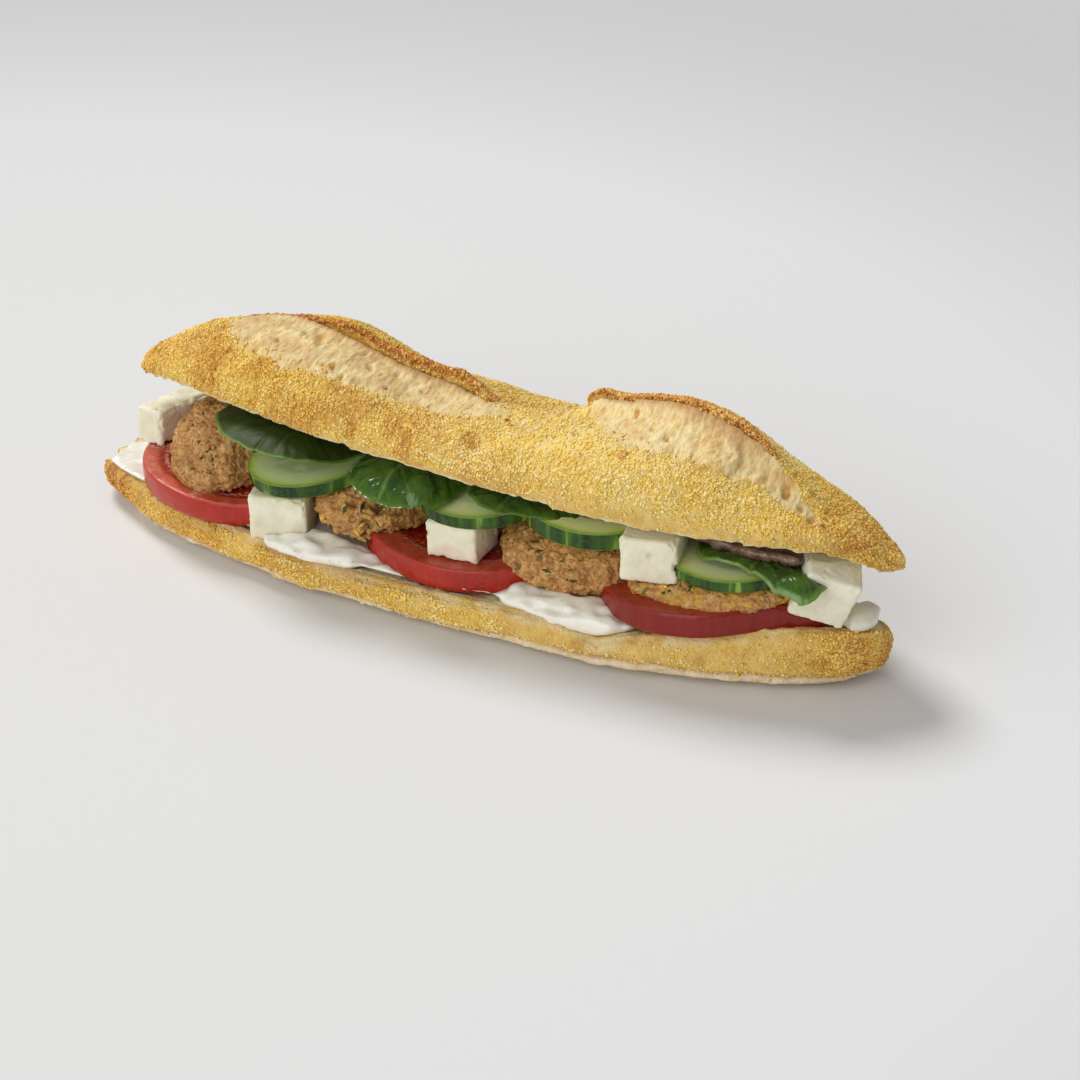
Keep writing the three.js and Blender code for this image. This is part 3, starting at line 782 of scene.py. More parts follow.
def build_ear(index, score):
    """The raised edge of the crust behind a score: a torn wall over the dough and a ragged, toasted crest."""
    tree = tree_of("bread_top")
    first, last = score["ear"]
    along = np.arange(first + 1, last - 1, 0.4)
    foot = curve(score["foot"])(along)
    share = ear_share(score, along)
    low = lid_height(tree, along, foot - 1.2)
    crest = foot + 2.0
    reaches = (0, 3, 6, 9, 11)
    behind = np.stack([window_mean(lid_height(tree, along, crest + reach), 9) for reach in reaches])
    line = np.stack([along, 0 * along, 0 * along], 1)
    ragged = 0.5 * noise(line, 2.4, 70 + index) + 0.35 * noise(line, 1.0, 72 + index)
    wavy = 0.8 * noise(line, 9, 74 + index)
    top = curve(score["crest"])(along) + share * (0.5 * ragged + 0.35 * wavy) - 1.2 * (1 - share)
    # Its far end sinks back into the crust.
    buried = behind[0] - 1.3
    top = buried + (top - buried) * smooth(along, last, last - 18)
    front = crest - 1.2 + share * (0.5 * wavy + 0.4 * ragged)
    wall = np.maximum(top - low, 0.5)

    # The section, from its buried foot up the wall, over the crest and down behind it.
    section = [(foot + 1.4, low - 2.0)]
    for step in np.linspace(0, 1, 14):
        hollow = 1.1 * math.sin(math.pi * min(1, 1.3 * step)) * np.clip(wall / 5, 0, 1)
        lean = foot + 0.4 + (front - foot - 0.4) * step**1.6
        section.append((lean + hollow, low - 0.6 + (wall - 0.2) * step))
    for turn in np.linspace(0.2, 1.0, 6) * math.pi / 2:
        section.append((front + 1.2 * (1 - math.cos(turn)), top - 0.8 + 0.9 * math.sin(turn)))
    for step in np.linspace(0.1, 1, 12):
        surface = np.array([np.interp(9 * step, reaches, heights) for heights in behind.T])
        height = surface + np.maximum(top - behind[0], 0) * (1 - step) ** 1.7 + 0.2 * (1 - step)
        section.append((crest + 9 * step, np.minimum(height, top + 0.1)))
    section += [(crest + 10, behind[-1] - 2.0), (crest, low - 3.0)]
    rings = np.stack([np.stack([along, y, z], 1) for y, z in section], 1)
    mesh = subdivided(mesh_from(f"ear_{index}", *closed_tube(rings)))
    q = points_of(mesh)
    n = normals_of(mesh)
    crest_here, low_here, top_here = (np.interp(q[:, 0], along, values) for values in (crest, low, top))
    height = np.clip((q[:, 2] - low_here) / np.maximum(top_here - low_here, 0.5), 0, 1)
    past_crest = q[:, 1] - crest_here
    inner = smooth(past_crest, -0.4, -1.2) * smooth(n[:, 2], 0.8, 0.5)
    torn = fractal(q, (2.2, 2.2, 1.5), 3, 80 + index)
    holes = pits(q * (1, 1, 1.3), 3.4, 0.4, 82 + index) * inner
    rise = inner * (0.9 * torn - 1.8 * holes) + (1 - inner) * (0.35 * torn + 0.25 * noise(q, 1.2, 84))
    q = q + n * (rise * smooth(past_crest, 10, 6))[:, None]
    q = q + n * lid_swell(q)[:, None]
    set_points(mesh, LID.world(q))

    past_crest = q[:, 1] - crest_here
    crown = smooth(past_crest, -2.2, -1.2) * smooth(past_crest, 4.5, 1.5) * smooth(height, 0.5, 0.75)
    # The wall is browner near its foot, in its holes and in the hollows of its torn relief: painted shade.
    # The crown's brown is toasting.
    brown = inner * (0.55 * smooth(height, 0.25, 0.0) + 0.6 * holes + 0.3 * smooth(torn, 0, -0.6))
    brown = np.maximum(brown, crown * (0.8 + 0.45 * noise(q, 3, 86)))
    crust_attributes(mesh, wall=inner, brown=brown)
    piece_of(f"ear_{index}", mesh, CRUST, "crust")
    density = (1 - inner) * smooth(past_crest, 9.5, 6) * smooth(height, 0.3, 0.6) + 0.25 * inner * height
    toast = np.clip(crown + 0.15, 0, 1)
    scatter_grains(f"cornmeal_ear_{index}", mesh, density, toast, EAR_GRAINS, 88 + index)


def window_mean(values, width):
    window = np.hanning(width + 2)[1:-1]
    padded = np.pad(values, width // 2, mode="edge")
    return np.convolve(padded, window / window.sum(), mode="valid")


def closed_tube(rings, ends=None):
    """Points and faces of a closed tube through rings (count, size, 3). A fan of triangles shuts each end,
    round the point that ends gives, or else round the middle of the ring."""
    count, size = rings.shape[:2]
    if ends is None:
        ends = (rings[0].mean(0), rings[-1].mean(0))
    at = np.arange(size)
    after = (at + 1) % size
    faces = []
    for a in range(0, (count - 1) * size, size):
        b = a + size
        faces += np.stack([a + at, b + at, b + after, a + after], 1).tolist()
    first = count * size
    last_ring = first - size
    for fan in ((first, at, after), (first + 1, last_ring + after, last_ring + at)):
        faces += np.stack(np.broadcast_arrays(*fan), 1).tolist()
    return np.concatenate([rings.reshape(-1, 3), ends]), faces


def inside_of(p):
    """How far each point lies inside its mesh's outline seen from above, at the front and at the back."""
    places = np.arange(p[:, 0].min(), p[:, 0].max(), 1.5)
    near = [p[np.abs(p[:, 0] - place) < 1.5, 1] for place in places]
    front, back = (
        np.interp(p[:, 0], places, window_mean(np.array([outermost(y) for y in near]), 3))
        for outermost in (np.min, np.max)
    )
    return p[:, 1] - front, back - p[:, 1]


def build_bottom():
    mesh, p, n = remeshed("bread_bottom", voxel=1.3, rounds=5, finer=True)
    x, y, z = p.T
    from_front, from_back = inside_of(p)
    cut = smooth(n[:, 2], 0.4, 0.75) * smooth(z, 5, 7)
    under = smooth(n[:, 2], -0.45, -0.85)
    flank = (1 - cut) * (1 - under)
    length = abs(x).max()
    right_end = smooth(x, length - 26, length - 6)
    left_end = smooth(-x, length - 25, length - 16)
    # The crust rim stands up round the soft cut face.
    above = smooth(z, 4, 9) * smooth(n[:, 2], -0.3, 0.2)
    lip = curve(FRONT_LIP)(x) * smooth(from_front, 0.2, 2.4) * smooth(from_front, 7.5, 4.5)
    lip += 1.0 * smooth(from_back, 3.0, 1.2) + 2.6 * smooth(-x, 106, 124) * smooth(y, -12, 2)
    skin = np.maximum(smooth(from_front, 4.6, 3.0), smooth(from_back, 2.2, 1.2))
    cut = cut * (1 - skin)
    # A crease runs round the flank, between the golden crust and the floured underside.
    ground = p * (1, 1, 0)
    crease_height = 4.6 + 0.8 * smooth(x, 0, 50) + 0.9 * noise(ground, 28, 41)
    crease_height += 0.4 * noise(ground, 6, 40)
    over_crease = z - crease_height
    below = smooth(over_crease, 0.4, -0.4)
    flour = np.clip(below * (0.85 + 0.4 * noise(p, 3, 42)), 0, 1) * (1 - 0.4 * left_end)
    crease = bump(over_crease, 0.1, 0.55) * flank * smooth(noise(ground, 15, 39), -0.5, 0.1)
    dents = fractal(p, (18, 18, 8), 2, 43)
    rise = flank * (0.9 * dents + 0.22 * fractal(p, 5, 3, 44) + 0.12 * noise(p, 1.4, 45))
    rise += 0.55 * smooth(over_crease, 0.0, 1.4) * flank - 0.75 * crease
    rise += below * flank * 0.4 * fractal(p, (5, 5, 3), 3, 46)
    pores = pits(p, 3.0, 0.45, 47) * cut
    rise += cut * 0.3 * fractal(p, 3, 3, 48) - 1.0 * pores
    smooth_crust = smooth(x, 5, 40) * (1 - right_end)
    slits = pits(p * (0.7, 0.7, 1.6), 3.0, 0.07, 38) * flank * (1 - below) * smooth(x, 20, 50)
    rise -= 0.8 * slits
    rise *= smooth(z, 0.05, 1.2)
    q = p + n * rise[:, None]
    q[:, 2] += above * lip * (1 + 0.25 * noise(p, 3, 34))
    # The base curls up a little round its outline, and more under the left tip.
    curl = smooth(np.minimum(from_front, from_back), 9, 3) * smooth(z, 4.5, 0.5)
    q[:, 2] = np.maximum(q[:, 2], 0) + 1.7 * curl + 2.2 * smooth(-x, 92, 128) * smooth(z, 8, 0)
    set_points(mesh, q)

    rim = smooth(n[:, 2], 0.1, 0.45) * (1 - cut) * smooth(z, 5, 7)
    cream = rim * smooth(x, -110, -90) * smooth(x, 112, 98)
    cream *= smooth(noise(p, (9, 5, 5), 36), -0.4, 0.2)
    at_ends = 0.9 * right_end * (0.6 + 0.7 * noise(p, 6, 50)) + left_end * (0.8 + 0.6 * noise(p, 4, 37))
    toasts = [
        np.clip(at_ends, 0, 1),
        0.5 * smooth(noise(p, 6, 49), 0.42, 0.75),
        0.5 * smooth(x, 20, -50) * smooth(noise(p, 16, 32), -0.7, 0.0),
    ]
    toast = np.maximum.reduce(toasts) * ((1 - cut) * (1 - 0.75 * flour))
    edge_toast = 0.6 * bump(z, 3.2, 1.6) * smooth(-x, 30, 60) * smooth(noise(p, 9, 35), -0.5, 0.2)
    # The browning in the crease and in the slits is painted shade; the rest is the crust's own toasting.
    brown = np.maximum.reduce([0.8 * toast, 0.5 * crease, 0.8 * slits, edge_toast])
    pale = 0.5 * rim + 0.45 * smooth_crust + 0.3 * smooth(noise(p, 12, 51), 0.0, 0.6)
    crust_attributes(
        mesh,
        cut=cut + 0.5 * cream,
        brown=brown * (1 - cut),
        yellow=0.5 * smooth(noise(p, 14, 33), 0.0, 0.5) * flank * (1 - below) * (1 - toast),
        pale=np.clip(pale, 0, 1) * (1 - toast),
        flour=flour,
    )
    piece_of("bottom_half", mesh, CRUST, "crust", "bread_bottom")
    patchy = smooth(noise(p, (9, 9, 5), 52), -0.05, 0.45)
    along_crease = bump(over_crease, 0.9, 1.0)
    density = flank * (1 - 0.92 * below) * (0.15 + 0.85 * np.maximum(patchy, 0.7 * along_crease))
    density *= (1 - 0.8 * smooth_crust) * (1 - 0.4 * rim) * (1 - cut)
    density = np.maximum(density, 0.9 * right_end * flank * (1 - below) * smooth(z, 4, 8))
    ends = np.maximum.reduce([0.8 * right_end, left_end, 0.6 * smooth(x, -20, -70)])
    scatter_grains("cornmeal_bottom", mesh, density, ends * toast, BOTTOM_GRAINS, 53)


# A grain: an uneven pyramid with its base sunk in the crust.
GRAIN = np.array([(1, 0, -0.5), (0, 1, -0.5), (-1, 0, -0.5), (0, -1, -0.5), (0, 0, 0.8)], float)
GRAIN_FACES = np.array([(0, 1, 4), (1, 2, 4), (2, 3, 4), (3, 0, 4), (0, 3, 2), (0, 2, 1)])
# A fleck: an uneven octahedron.
FLECK = np.array([(1, 0, 0), (0, 1, 0), (-1, 0, 0), (0, -1, 0), (0, 0, 1), (0, 0, -1)], float)
FLECK_FACES = np.array(
    [(0, 1, 4), (1, 2, 4), (2, 3, 4), (3, 0, 4), (1, 0, 5), (2, 1, 5), (3, 2, 5), (0, 3, 5)]
)


def surface_spots(mesh, density, count, random, *more):
    """Random places on a mesh, their normals, and there the values of more, each a value for each vertex.
    They lie thicker where density, a value for each vertex, is high."""
    mesh.calc_loop_triangles()
    corners = read(mesh.loop_triangles, "vertices", 3, np.int32)
    p = points_of(mesh)[corners]
    n = normals_of(mesh)[corners]
    area = np.linalg.norm(np.cross(p[:, 1] - p[:, 0], p[:, 2] - p[:, 0]), axis=1)
    weight = area * density[corners].mean(1)
    chosen = random.choice(len(corners), count, p=weight / weight.sum())
    share = random.dirichlet((1, 1, 1), count)
    spots = (p[chosen] * share[..., None]).sum(1)
    normals = unit((n[chosen] * share[..., None]).sum(1))
    return [spots, normals, *((values[corners[chosen]] * share).sum(1) for values in more)]


def scattered_bits(name, spots, normals, sizes, random, sink, shape, faces):
    """One mesh of many small bits of one shape. sizes are half lengths along two tangents and the normal,
    (n, 3), and sink is the share of a bit's height that lies in the surface."""
    count = len(spots)
    guess = unit(random.normal(size=(count, 3)))
    first = unit(np.cross(normals, guess))
    second = np.cross(normals, first)
    uneven = 1 + 0.3 * random.normal(size=(count, len(shape), 1)).clip(-1, 1)
    bits = shape[None] * uneven * sizes[:, None]
    u, v, w = (bits[..., k, None] for k in range(3))
    placed = u * first[:, None] + v * second[:, None] + w * normals[:, None]
    placed = placed + (spots + normals * sizes[:, 2:] * (1 - 2 * sink))[:, None]
    every = faces[None] + len(shape) * np.arange(count)[:, None, None]
    return mesh_from(name, placed.reshape(-1, 3), every.reshape(-1, faces.shape[1]))


def scatter_grains(name, mesh, density, toast, count, seed):
    """Coarse cornmeal over a crust. toast is how browned each vertex of the crust is."""
    random = np.random.default_rng(seed)
    spots, normals, toasted = surface_spots(mesh, density, count, random, toast)
    normals = unit(normals + 0.18 * random.normal(size=normals.shape))
    size = 0.36 + 0.42 * random.beta(1.6, 3, count)
    sizes = size[:, None] * random.uniform((0.85, 0.85, 0.5), (1.2, 1.15, 0.8), (count, 3))
    grains = scattered_bits(name, spots, normals, sizes, random, sink=0.3, shape=GRAIN, faces=GRAIN_FACES)
    paler = 0.22 * smooth(spots[:, 0], -60, 20) * smooth(spots[:, 0], 118, 88)
    tint = np.clip(random.beta(2.4, 2.6, count) + 0.2 * noise(spots, 10, 5) + paler, 0, 1)
    toasted = np.clip(1.1 * toasted + 0.1 * random.normal(size=count), 0, 1)
    attributes(grains, tint=np.repeat(tint, len(GRAIN)), toast=np.repeat(toasted, len(GRAIN)))
    piece_of(name, grains, GRAINS, "crust")


# ---------------------------------------------------------------- slices


def turns(steps):
    """The angles of steps directions evenly round a circle."""
    return np.arange(steps) * 2 * math.pi / steps


def slice_outline(node, place, steps):
    """The radius of a flat CAD piece in steps directions round its middle, with its facets smoothed away."""
    tree = tree_of(node)
    radii = np.full(steps, np.nan)
    for k, turn in enumerate(turns(steps)):
        outward = place.axes @ np.array([math.cos(turn), math.sin(turn), 0])
        hit = hit_point(tree, place.middle + RAY_START * outward, -outward)
        if hit is not None:
            radii[k] = np.linalg.norm(hit - place.middle)
    good = ~np.isnan(radii)
    radii = np.interp(np.arange(steps), np.flatnonzero(good), radii[good], period=steps)
    window = np.hanning(9)
    window /= window.sum()
    wrapped = np.concatenate([radii[-8:], radii, radii[:8]])
    return np.convolve(wrapped, window, mode="same")[8:-8]


def slice_mesh(name, place, outline, thickness, top_rings, skin_rings, bulge, edge, relief):
    """A round slice: a top face, a bulging skin and a bottom face. edge is how far its rims are rounded, and
    relief gives, for arrays of shares of the radius and of angles, how far a face is raised. Returns the mesh
    and, for each vertex, the share of the radius, the angle and how deep in the skin it lies, from 0 to 1."""
    steps = len(outline)
    turn = turns(steps)
    rings = []

    def add_face(shares, side, raised):
        for share in shares:
            radius = outline * share - edge * share**6
            height = side * thickness / 2 + raised * relief(np.full(steps, share), turn) * (1 - share**8)
            rings.append((radius, height, share, 0.0))

    add_face(np.linspace(0, 1, top_rings + 1)[1:] ** 0.85, 1, 1)
    for k in range(1, skin_rings):
        down = math.pi * k / skin_rings
        radius = outline + bulge * math.sin(down) - edge * (1 - math.sin(down)) ** 1.5
        height = np.full(steps, thickness / 2 * math.copysign(abs(math.cos(down)) ** 0.6, math.cos(down)))
        rings.append((radius, height, 1.0, k / skin_rings))
    add_face(np.linspace(1, 0, top_rings // 2 + 1)[:-1], -1, -0.4)
    radii, heights, shares, skins = zip(*rings)
    points = [np.stack([r * np.cos(turn), r * np.sin(turn), h], 1) for r, h in zip(radii, heights)]
    points = place.world(np.concatenate(points)).reshape(-1, steps, 3)
    middle = thickness / 2 + relief(np.zeros(1), np.zeros(1))[0]
    ends = place.world([(0, 0, middle), (0, 0, -thickness / 2)])
    marks = (np.repeat(shares, steps), np.tile(turn, len(rings)), np.repeat(skins, steps))
    return mesh_from(name, *closed_tube(points, ends)), *(np.append(values, (0, 0)) for values in marks)


def tomato_material():
    s = Shader("tomato")
    rim = s.attribute("rim")
    mottle = s.noise(3, 4, 0.6)
    flesh = s.ramp(mottle, (0.3, (184, 46, 24)), (0.7, (204, 74, 44)))
    flesh = s.mix(rim, flesh, s.ramp(mottle, (0.3, (178, 58, 38)), (0.7, (198, 92, 64))))
    jelly = s.ramp(s.noise(2.2, 3), (0.3, (128, 14, 8)), (0.7, (172, 34, 18)))
    colour = s.mix(s.attribute("jelly"), flesh, jelly)
    seeds = s.times(s.range(s.cells(2.3), 0.32, 0.2), s.attribute("jelly"))
    colour = s.mix(s.times(seeds, 0.55), colour, (214, 150, 84))
    fibre = s.times(s.attribute("fibre"), s.range(s.noise(0.9, 3), 0.42, 0.6))
    colour = s.mix(fibre, colour, (250, 214, 190))
    streaks = s.noise(1.6, 3, 0.6, stretch=(1, 1, 0.08))
    skin = s.ramp(s.noise(14, 3), (0.3, (166, 36, 24)), (0.7, (188, 50, 34)))
    skin = s.mix(s.range(streaks, 0.4, 0.7, 0, 0.35), skin, (140, 24, 16))
    # deep darkens the skin and the flesh of the slices that lie in shade: painted shade.
    painted_shade_skin = s.ramp(streaks, (0.35, (110, 18, 10)), (0.65, (132, 26, 16)))
    skin = s.mix(s.range(s.attribute("deep"), 0, 1, 0, 0.85), skin, painted_shade_skin)
    colour = s.mix(s.attribute("skin"), colour, skin)
    painted_shade_flesh = s.times(s.attribute("deep"), s.math("SUBTRACT", 1.0, s.attribute("skin")))
    colour = s.mix(s.times(painted_shade_flesh, 0.6), colour, (120, 18, 12))
    s.soft_inside(0.12, (1.0, 0.15, 0.08), 2)
    wet = s.plus(s.noise(2.6, 2), s.times(s.noise(0.7, 2), 0.35))
    return s.finish(colour, 0.24, s.bump(wet, 0.3), specular=0.35, coat=0.08, coat_roughness=0.05)


# Each tomato slice: how far its rims are rounded and how far it is raised over its CAD place, in mm, how deep
# the cut face's wall folds over its side, how far its skin and flesh are darkened as painted shade, and
# where, as shares of its radius, its jelly ends and its pale threads lie.
TOMATOES = (
    {"edge": 0.5, "raised": 0.0, "fold": 0.12, "deep": 0.0, "jelly_end": 0.9, "threads": 0.78},
    {"edge": 0.5, "raised": 0.0, "fold": 0.05, "deep": 0.25, "jelly_end": 0.83, "threads": 0.6},
    {"edge": 0.6, "raised": 1.2, "fold": 0.05, "deep": 0.9, "jelly_end": 0.83, "threads": 0.6},
)
CHAMBERS = 5


def build_tomato(index, look):
    node = f"tomato_{index}"
    place = slab_place(node)
    outline = slice_outline(node, place, 192)
    thickness = np.ptp(place.local(cad_points(node))[:, 2]) - 0.2

    def spokes(share, turn):
        wobble = 0.25 * np.sin(3 * turn + index) + 0.15 * np.sin(7 * turn + 2 * index)
        return np.abs(np.cos(CHAMBERS / 2 * (turn + 0.3 * wobble + index))), share + 0.035 * wobble

    def jelly_share(share, turn):
        """1 in the jelly chambers, 0 in the outer wall, the walls between them and the core."""
        spoke, place_out = spokes(share, turn)
        inside = smooth(place_out, 0.3, 0.4) * smooth(place_out, look["jelly_end"], look["jelly_end"] - 0.08)
        return inside * smooth(spoke, 0.18, 0.4)

    def relief(share, turn):
        return -0.7 * jelly_share(share, turn) + 0.15 * np.sin(11 * turn + 4 * share) * share * (1 - share)

    if index == 3:
        # Its front swells out to the rim of the bread, most of all on the left.
        outline = outline * (1 + 0.085 * bump((turns(len(outline)) - 1.36 * math.pi) / 0.6, 0, 1))
    shape = {"top_rings": 30, "skin_rings": 11, "bulge": 0.3, "edge": look["edge"], "relief": relief}
    mesh, share, angle, skin = slice_mesh(node, place, outline, thickness, **shape)
    q = points_of(mesh)
    q[:, 2] += look["raised"]
    if index == 3:
        # The cheese presses its right end down into the bread.
        q[:, 2] -= 6.5 * smooth(q[:, 0] - place.middle[0], 20, 40) ** 1.3
        q[:, 1] += 4.5 * smooth(q[:, 0], 86, 106) * smooth(q[:, 1], -8, -26)
    set_points(mesh, q)
    fold = look["fold"]
    spoke, place_out = spokes(share, angle)
    threads = bump(place_out, look["threads"], 0.2)
    attributes(
        mesh,
        deep=look["deep"],
        jelly=jelly_share(share, angle) * (skin == 0),
        rim=smooth(place_out, 0.76, 0.86) * (skin < fold),
        fibre=bump(spoke, 0.02, 0.1) * threads + bump(place_out, 0.8, 0.02) * 0.5,
        skin=smooth(skin, fold, fold + 0.1) * smooth(skin, 0.98, 0.9),
    )
    piece_of(f"tomato_slice_{index}", mesh, TOMATO, "tomato", node)


def cucumber_material():
    s = Shader("cucumber")
    flesh = s.ramp(
        s.attribute("radius"),
        (0.0, (250, 248, 214)),
        (0.6, (248, 248, 208)),
        (0.84, (238, 244, 178)),
        (0.93, (214, 230, 132)),
        (0.975, (158, 190, 78)),
        (1.0, (84, 126, 40)),
    )
    flesh = s.mix(s.range(s.noise(3.5, 3), 0.35, 0.65, 0, 0.25), flesh, (212, 224, 150))
    flesh = s.mix(s.times(s.attribute("seed"), 0.5), flesh, (250, 248, 220))
    flesh = s.mix(s.times(s.attribute("pocket"), 0.45), flesh, (190, 204, 120))
    stripes = s.noise(3.6, 2, 0.5, stretch=(1, 1, 0.1))
    dark, green, pale = (24, 46, 8), (64, 102, 26), (140, 168, 70)
    skin = s.ramp(stripes, (0.34, dark), (0.5, (44, 78, 16)), (0.58, green), (0.66, pale))
    skin = s.mix(s.range(s.noise(1.1, 3), 0.5, 0.75, 0, 0.3), skin, (90, 128, 50))
    colour = s.mix(s.attribute("skin"), flesh, skin)
    colour = s.mix(s.times(s.attribute("lip"), 0.7), colour, (158, 186, 76))
    s.soft_inside(0.2, (0.8, 1.0, 0.4), 1.5)
    return s.finish(colour, 0.24, s.bump(s.noise(1.1, 3), 0.1), specular=0.3, coat=0.06, coat_roughness=0.1)


def build_cucumber(index):
    node = f"cucumber_{index}"
    place = slab_place(node)
    outline = slice_outline(node, place, 144)
    thickness = np.ptp(place.local(cad_points(node))[:, 2]) - 0.1

    def seed_share(share, turn):
        """1 on the seeds, which lie in three soft wedges with their points inwards."""
        third = np.abs(np.sin(1.5 * turn + index))
        spoke = np.abs(np.sin(6 * turn + 1.3 * index + 2 * np.sin(2 * turn)))
        radius = 0.4 + 0.05 * np.sin(5 * turn + index)
        return smooth(spoke, 0.6, 1.0) * bump(share, radius, 0.12) * smooth(third, 0.15, 0.5)

    def relief(share, turn):
        uneven = 0.1 * np.sin(2 * turn + 5 * share + index)
        return 0.15 * seed_share(share, turn) - 0.2 * smooth(share, 0.62, 0.5) + uneven

    shape = {"top_rings": 24, "skin_rings": 9, "bulge": 0.1, "edge": 0.35, "relief": relief}
    mesh, share, angle, skin = slice_mesh(node, place, outline, thickness, **shape)
    seeds = seed_share(share, angle)
    attributes(
        mesh,
        radius=share,
        seed=seeds,
        pocket=bump(share, 0.42, 0.16) * (1 - seeds),
        skin=smooth(skin, 0.08, 0.16) * smooth(skin, 0.92, 0.84),
        lip=bump(skin, 0.07, 0.07) + bump(skin, 0.93, 0.07),
    )
    piece_of(f"cucumber_slice_{index}", mesh, CUCUMBER, "cucumber", node)


# ---------------------------------------------------------------- cheese


def cheese_material():
    s = Shader("brined_cheese")
    patch = s.noise(5, 4)
    colour = s.ramp(patch, (0.3, (230, 224, 194)), (0.55, (240, 236, 212)), (0.75, (246, 242, 222)))
    # Holes and chips are coloured a darker yellow: painted shade in them.
    colour = s.mix(s.attribute("pit"), colour, (222, 210, 168))
    colour = s.mix(s.attribute("blush"), colour, (236, 200, 182))
    s.soft_inside(0.35, (1.0, 0.9, 0.7), 2)
    grit = s.plus(s.noise(1.6, 4, 0.6), s.times(s.noise(0.5, 3), 0.4))
    return s.finish(colour, 0.5, s.bump(grit, 0.25), specular=0.35)


# How much of each cube's lower part is tinted pink-beige.
CHEESE_BLUSH = (0.1, 0.5, 0.8, 0.15, 0.1, 0.3, 0.3)


def build_cheese(index, blush):
    node = f"cheese_{index}"
    mesh, p, n = remeshed(node, voxel=0.42, rounds=2)
    flat = blurred(mesh, n, 12)
    corner = smooth(1 - np.linalg.norm(flat, axis=1), 0.012, 0.1)
    chip = smooth(noise(p, 3.0, 60 + index), 0.1, 0.5) * corner
    crumbly = fractal(p, 1.6, 2, 65 + index) * smooth(noise(p, 4, 68 + index), -0.2, 0.3)
    hole = pits(p, 2.8, 0.2, 70 + index) * smooth(noise(p, 5, 95 + index), -0.1, 0.4)
    rise = 0.3 * fractal(p, 6, 3, 80 + index) + (0.08 + 0.12 * corner) * crumbly
    rise -= 0.8 * chip + 0.9 * hole
    set_points(mesh, p + n * rise[:, None])
    low = (p[:, 2] - p[:, 2].min()) / np.ptp(p[:, 2])
    lower_tint = smooth(low, 0.6, 0.1) * smooth(noise(p, 5, 99 + index), -0.3, 0.4)
    # pit darkens the holes and chipped corners: painted shade.
    attributes(mesh, pit=np.clip(hole + 0.3 * chip, 0, 1) * 0.6, blush=lower_tint * blush)
    piece_of(f"cheese_cube_{index}", mesh, CHEESE, "cheese", node)


# ---------------------------------------------------------------- patties


def patty_material():
    s = Shader("vegetable_patty")
    patch = s.noise(3.2, 6, 0.72)
    fine = s.noise(0.8, 5, 0.7)
    crumbs = s.cells(1.3)
    colour = s.ramp(
        patch,
        (0.3, (150, 96, 48)),
        (0.42, (192, 138, 78)),
        (0.54, (218, 166, 102)),
        (0.72, (238, 196, 132)),
    )
    colour = s.mix(s.range(fine, 0.55, 0.36, 0, 0.55), colour, (138, 84, 40))
    colour = s.mix(s.range(crumbs, 0.25, 0.05, 0, 0.3), colour, (240, 200, 138))
    colour = s.mix(s.times(s.attribute("golden"), s.range(s.noise(2, 3), 0.35, 0.6)), colour, (214, 168, 74))
    # hollow is painted shade: the gaps and holes are coloured dark brown.
    colour = s.mix(s.attribute("hollow"), colour, (92, 52, 20))
    normal = s.bump(s.plus(fine, s.times(crumbs, -0.5)), 0.35)
    s.soft_inside(0.08, (1.0, 0.5, 0.2), 1)
    return s.finish(colour, s.range(patch, 0.3, 0.7, 0.55, 0.8), normal, specular=0.3)


def fleck_material(name, dark, middle, pale, roughness):
    s = Shader(name)
    colour = s.ramp(s.attribute("tint"), (0.0, dark), (0.6, middle), (1.0, pale))
    s.soft_inside(0.1, (1.0, 0.7, 0.2), 0.8)
    return s.finish(colour, roughness, s.bump(s.noise(0.6), 0.12), specular=0.4)


# Each patty: how craggy it is, how large its crumbs are in mm, how golden it is, and how many flecks of herbs
# and of corn it has.
PATTIES = (
    {"craggy": 0.85, "crumb": 1.1, "golden": 0.1, "herbs": 90, "corn": 10},
    {"craggy": 1.1, "crumb": 2.3, "golden": 0.5, "herbs": 130, "corn": 90},
    {"craggy": 1.0, "crumb": 1.9, "golden": 0.2, "herbs": 110, "corn": 36},
    {"craggy": 0.65, "crumb": 1.8, "golden": 0.8, "herbs": 240, "corn": 60},
)


def build_patty(index, look):
    node = f"patty_{index}"
    mesh, p, n = remeshed(node, voxel=0.8, rounds=5, finer=True)
    bent = p + 1.2 * np.stack([noise(p, 4, 101), noise(p, 4, 102), noise(p, 4, 103)], 1)
    clumps = crumb_lumps(bent, 2.6 * look["crumb"], 104 + index)
    crumbs = crumb_lumps(bent, look["crumb"], 108 + index)
    ridges = 1 - 2 * np.abs(fractal(p, 5, 4, 100 + index, 0.6))
    holes = pits(p, 6, 0.3, 120 + index) * smooth(look["craggy"], 0.7, 1.0)
    if index == 4:
        fibres = 1 - 2 * np.abs(fractal(bent * (1, 0.5, 0.35), 1.3, 2, 140))
        crumbs = 0.4 * crumbs + 0.6 * fibres
    rise = 0.6 * (clumps - 0.7) + 0.5 * (crumbs - 0.6) + 0.7 * ridges + 0.3 * fractal(p, 0.9, 2, 130 + index)
    rise = look["craggy"] * (rise - 1.5 * holes)
    if index == 1:
        # It has been pressed out of shape, and bulges to the front and the left.
        front = 1.2 * smooth(-n[:, 1], 0.0, 0.8) * smooth(-n[:, 2], -0.3, 0.4)
        rise += 0.8 + 1.8 * fractal(p, 15, 2, 98) + front
    set_points(mesh, p + n * rise[:, None])
    # The gaps between clumps and between crumbs, and the holes, are marked for a dark colour: painted shade
    # in the hollows.
    hollow = np.clip(0.3 * smooth(clumps, 0.15, 0.0) + 0.2 * smooth(crumbs, 0.2, 0) + 0.8 * holes, 0, 1)
    attributes(
        mesh,
        hollow=hollow * min(1, 0.35 + 0.5 * look["craggy"]),
        golden=look["golden"] * smooth(noise(p, 6, 150 + index), -0.4, 0.3),
    )
    piece_of(f"vegetable_patty_{index}", mesh, PATTY, "patty", node)
    return mesh


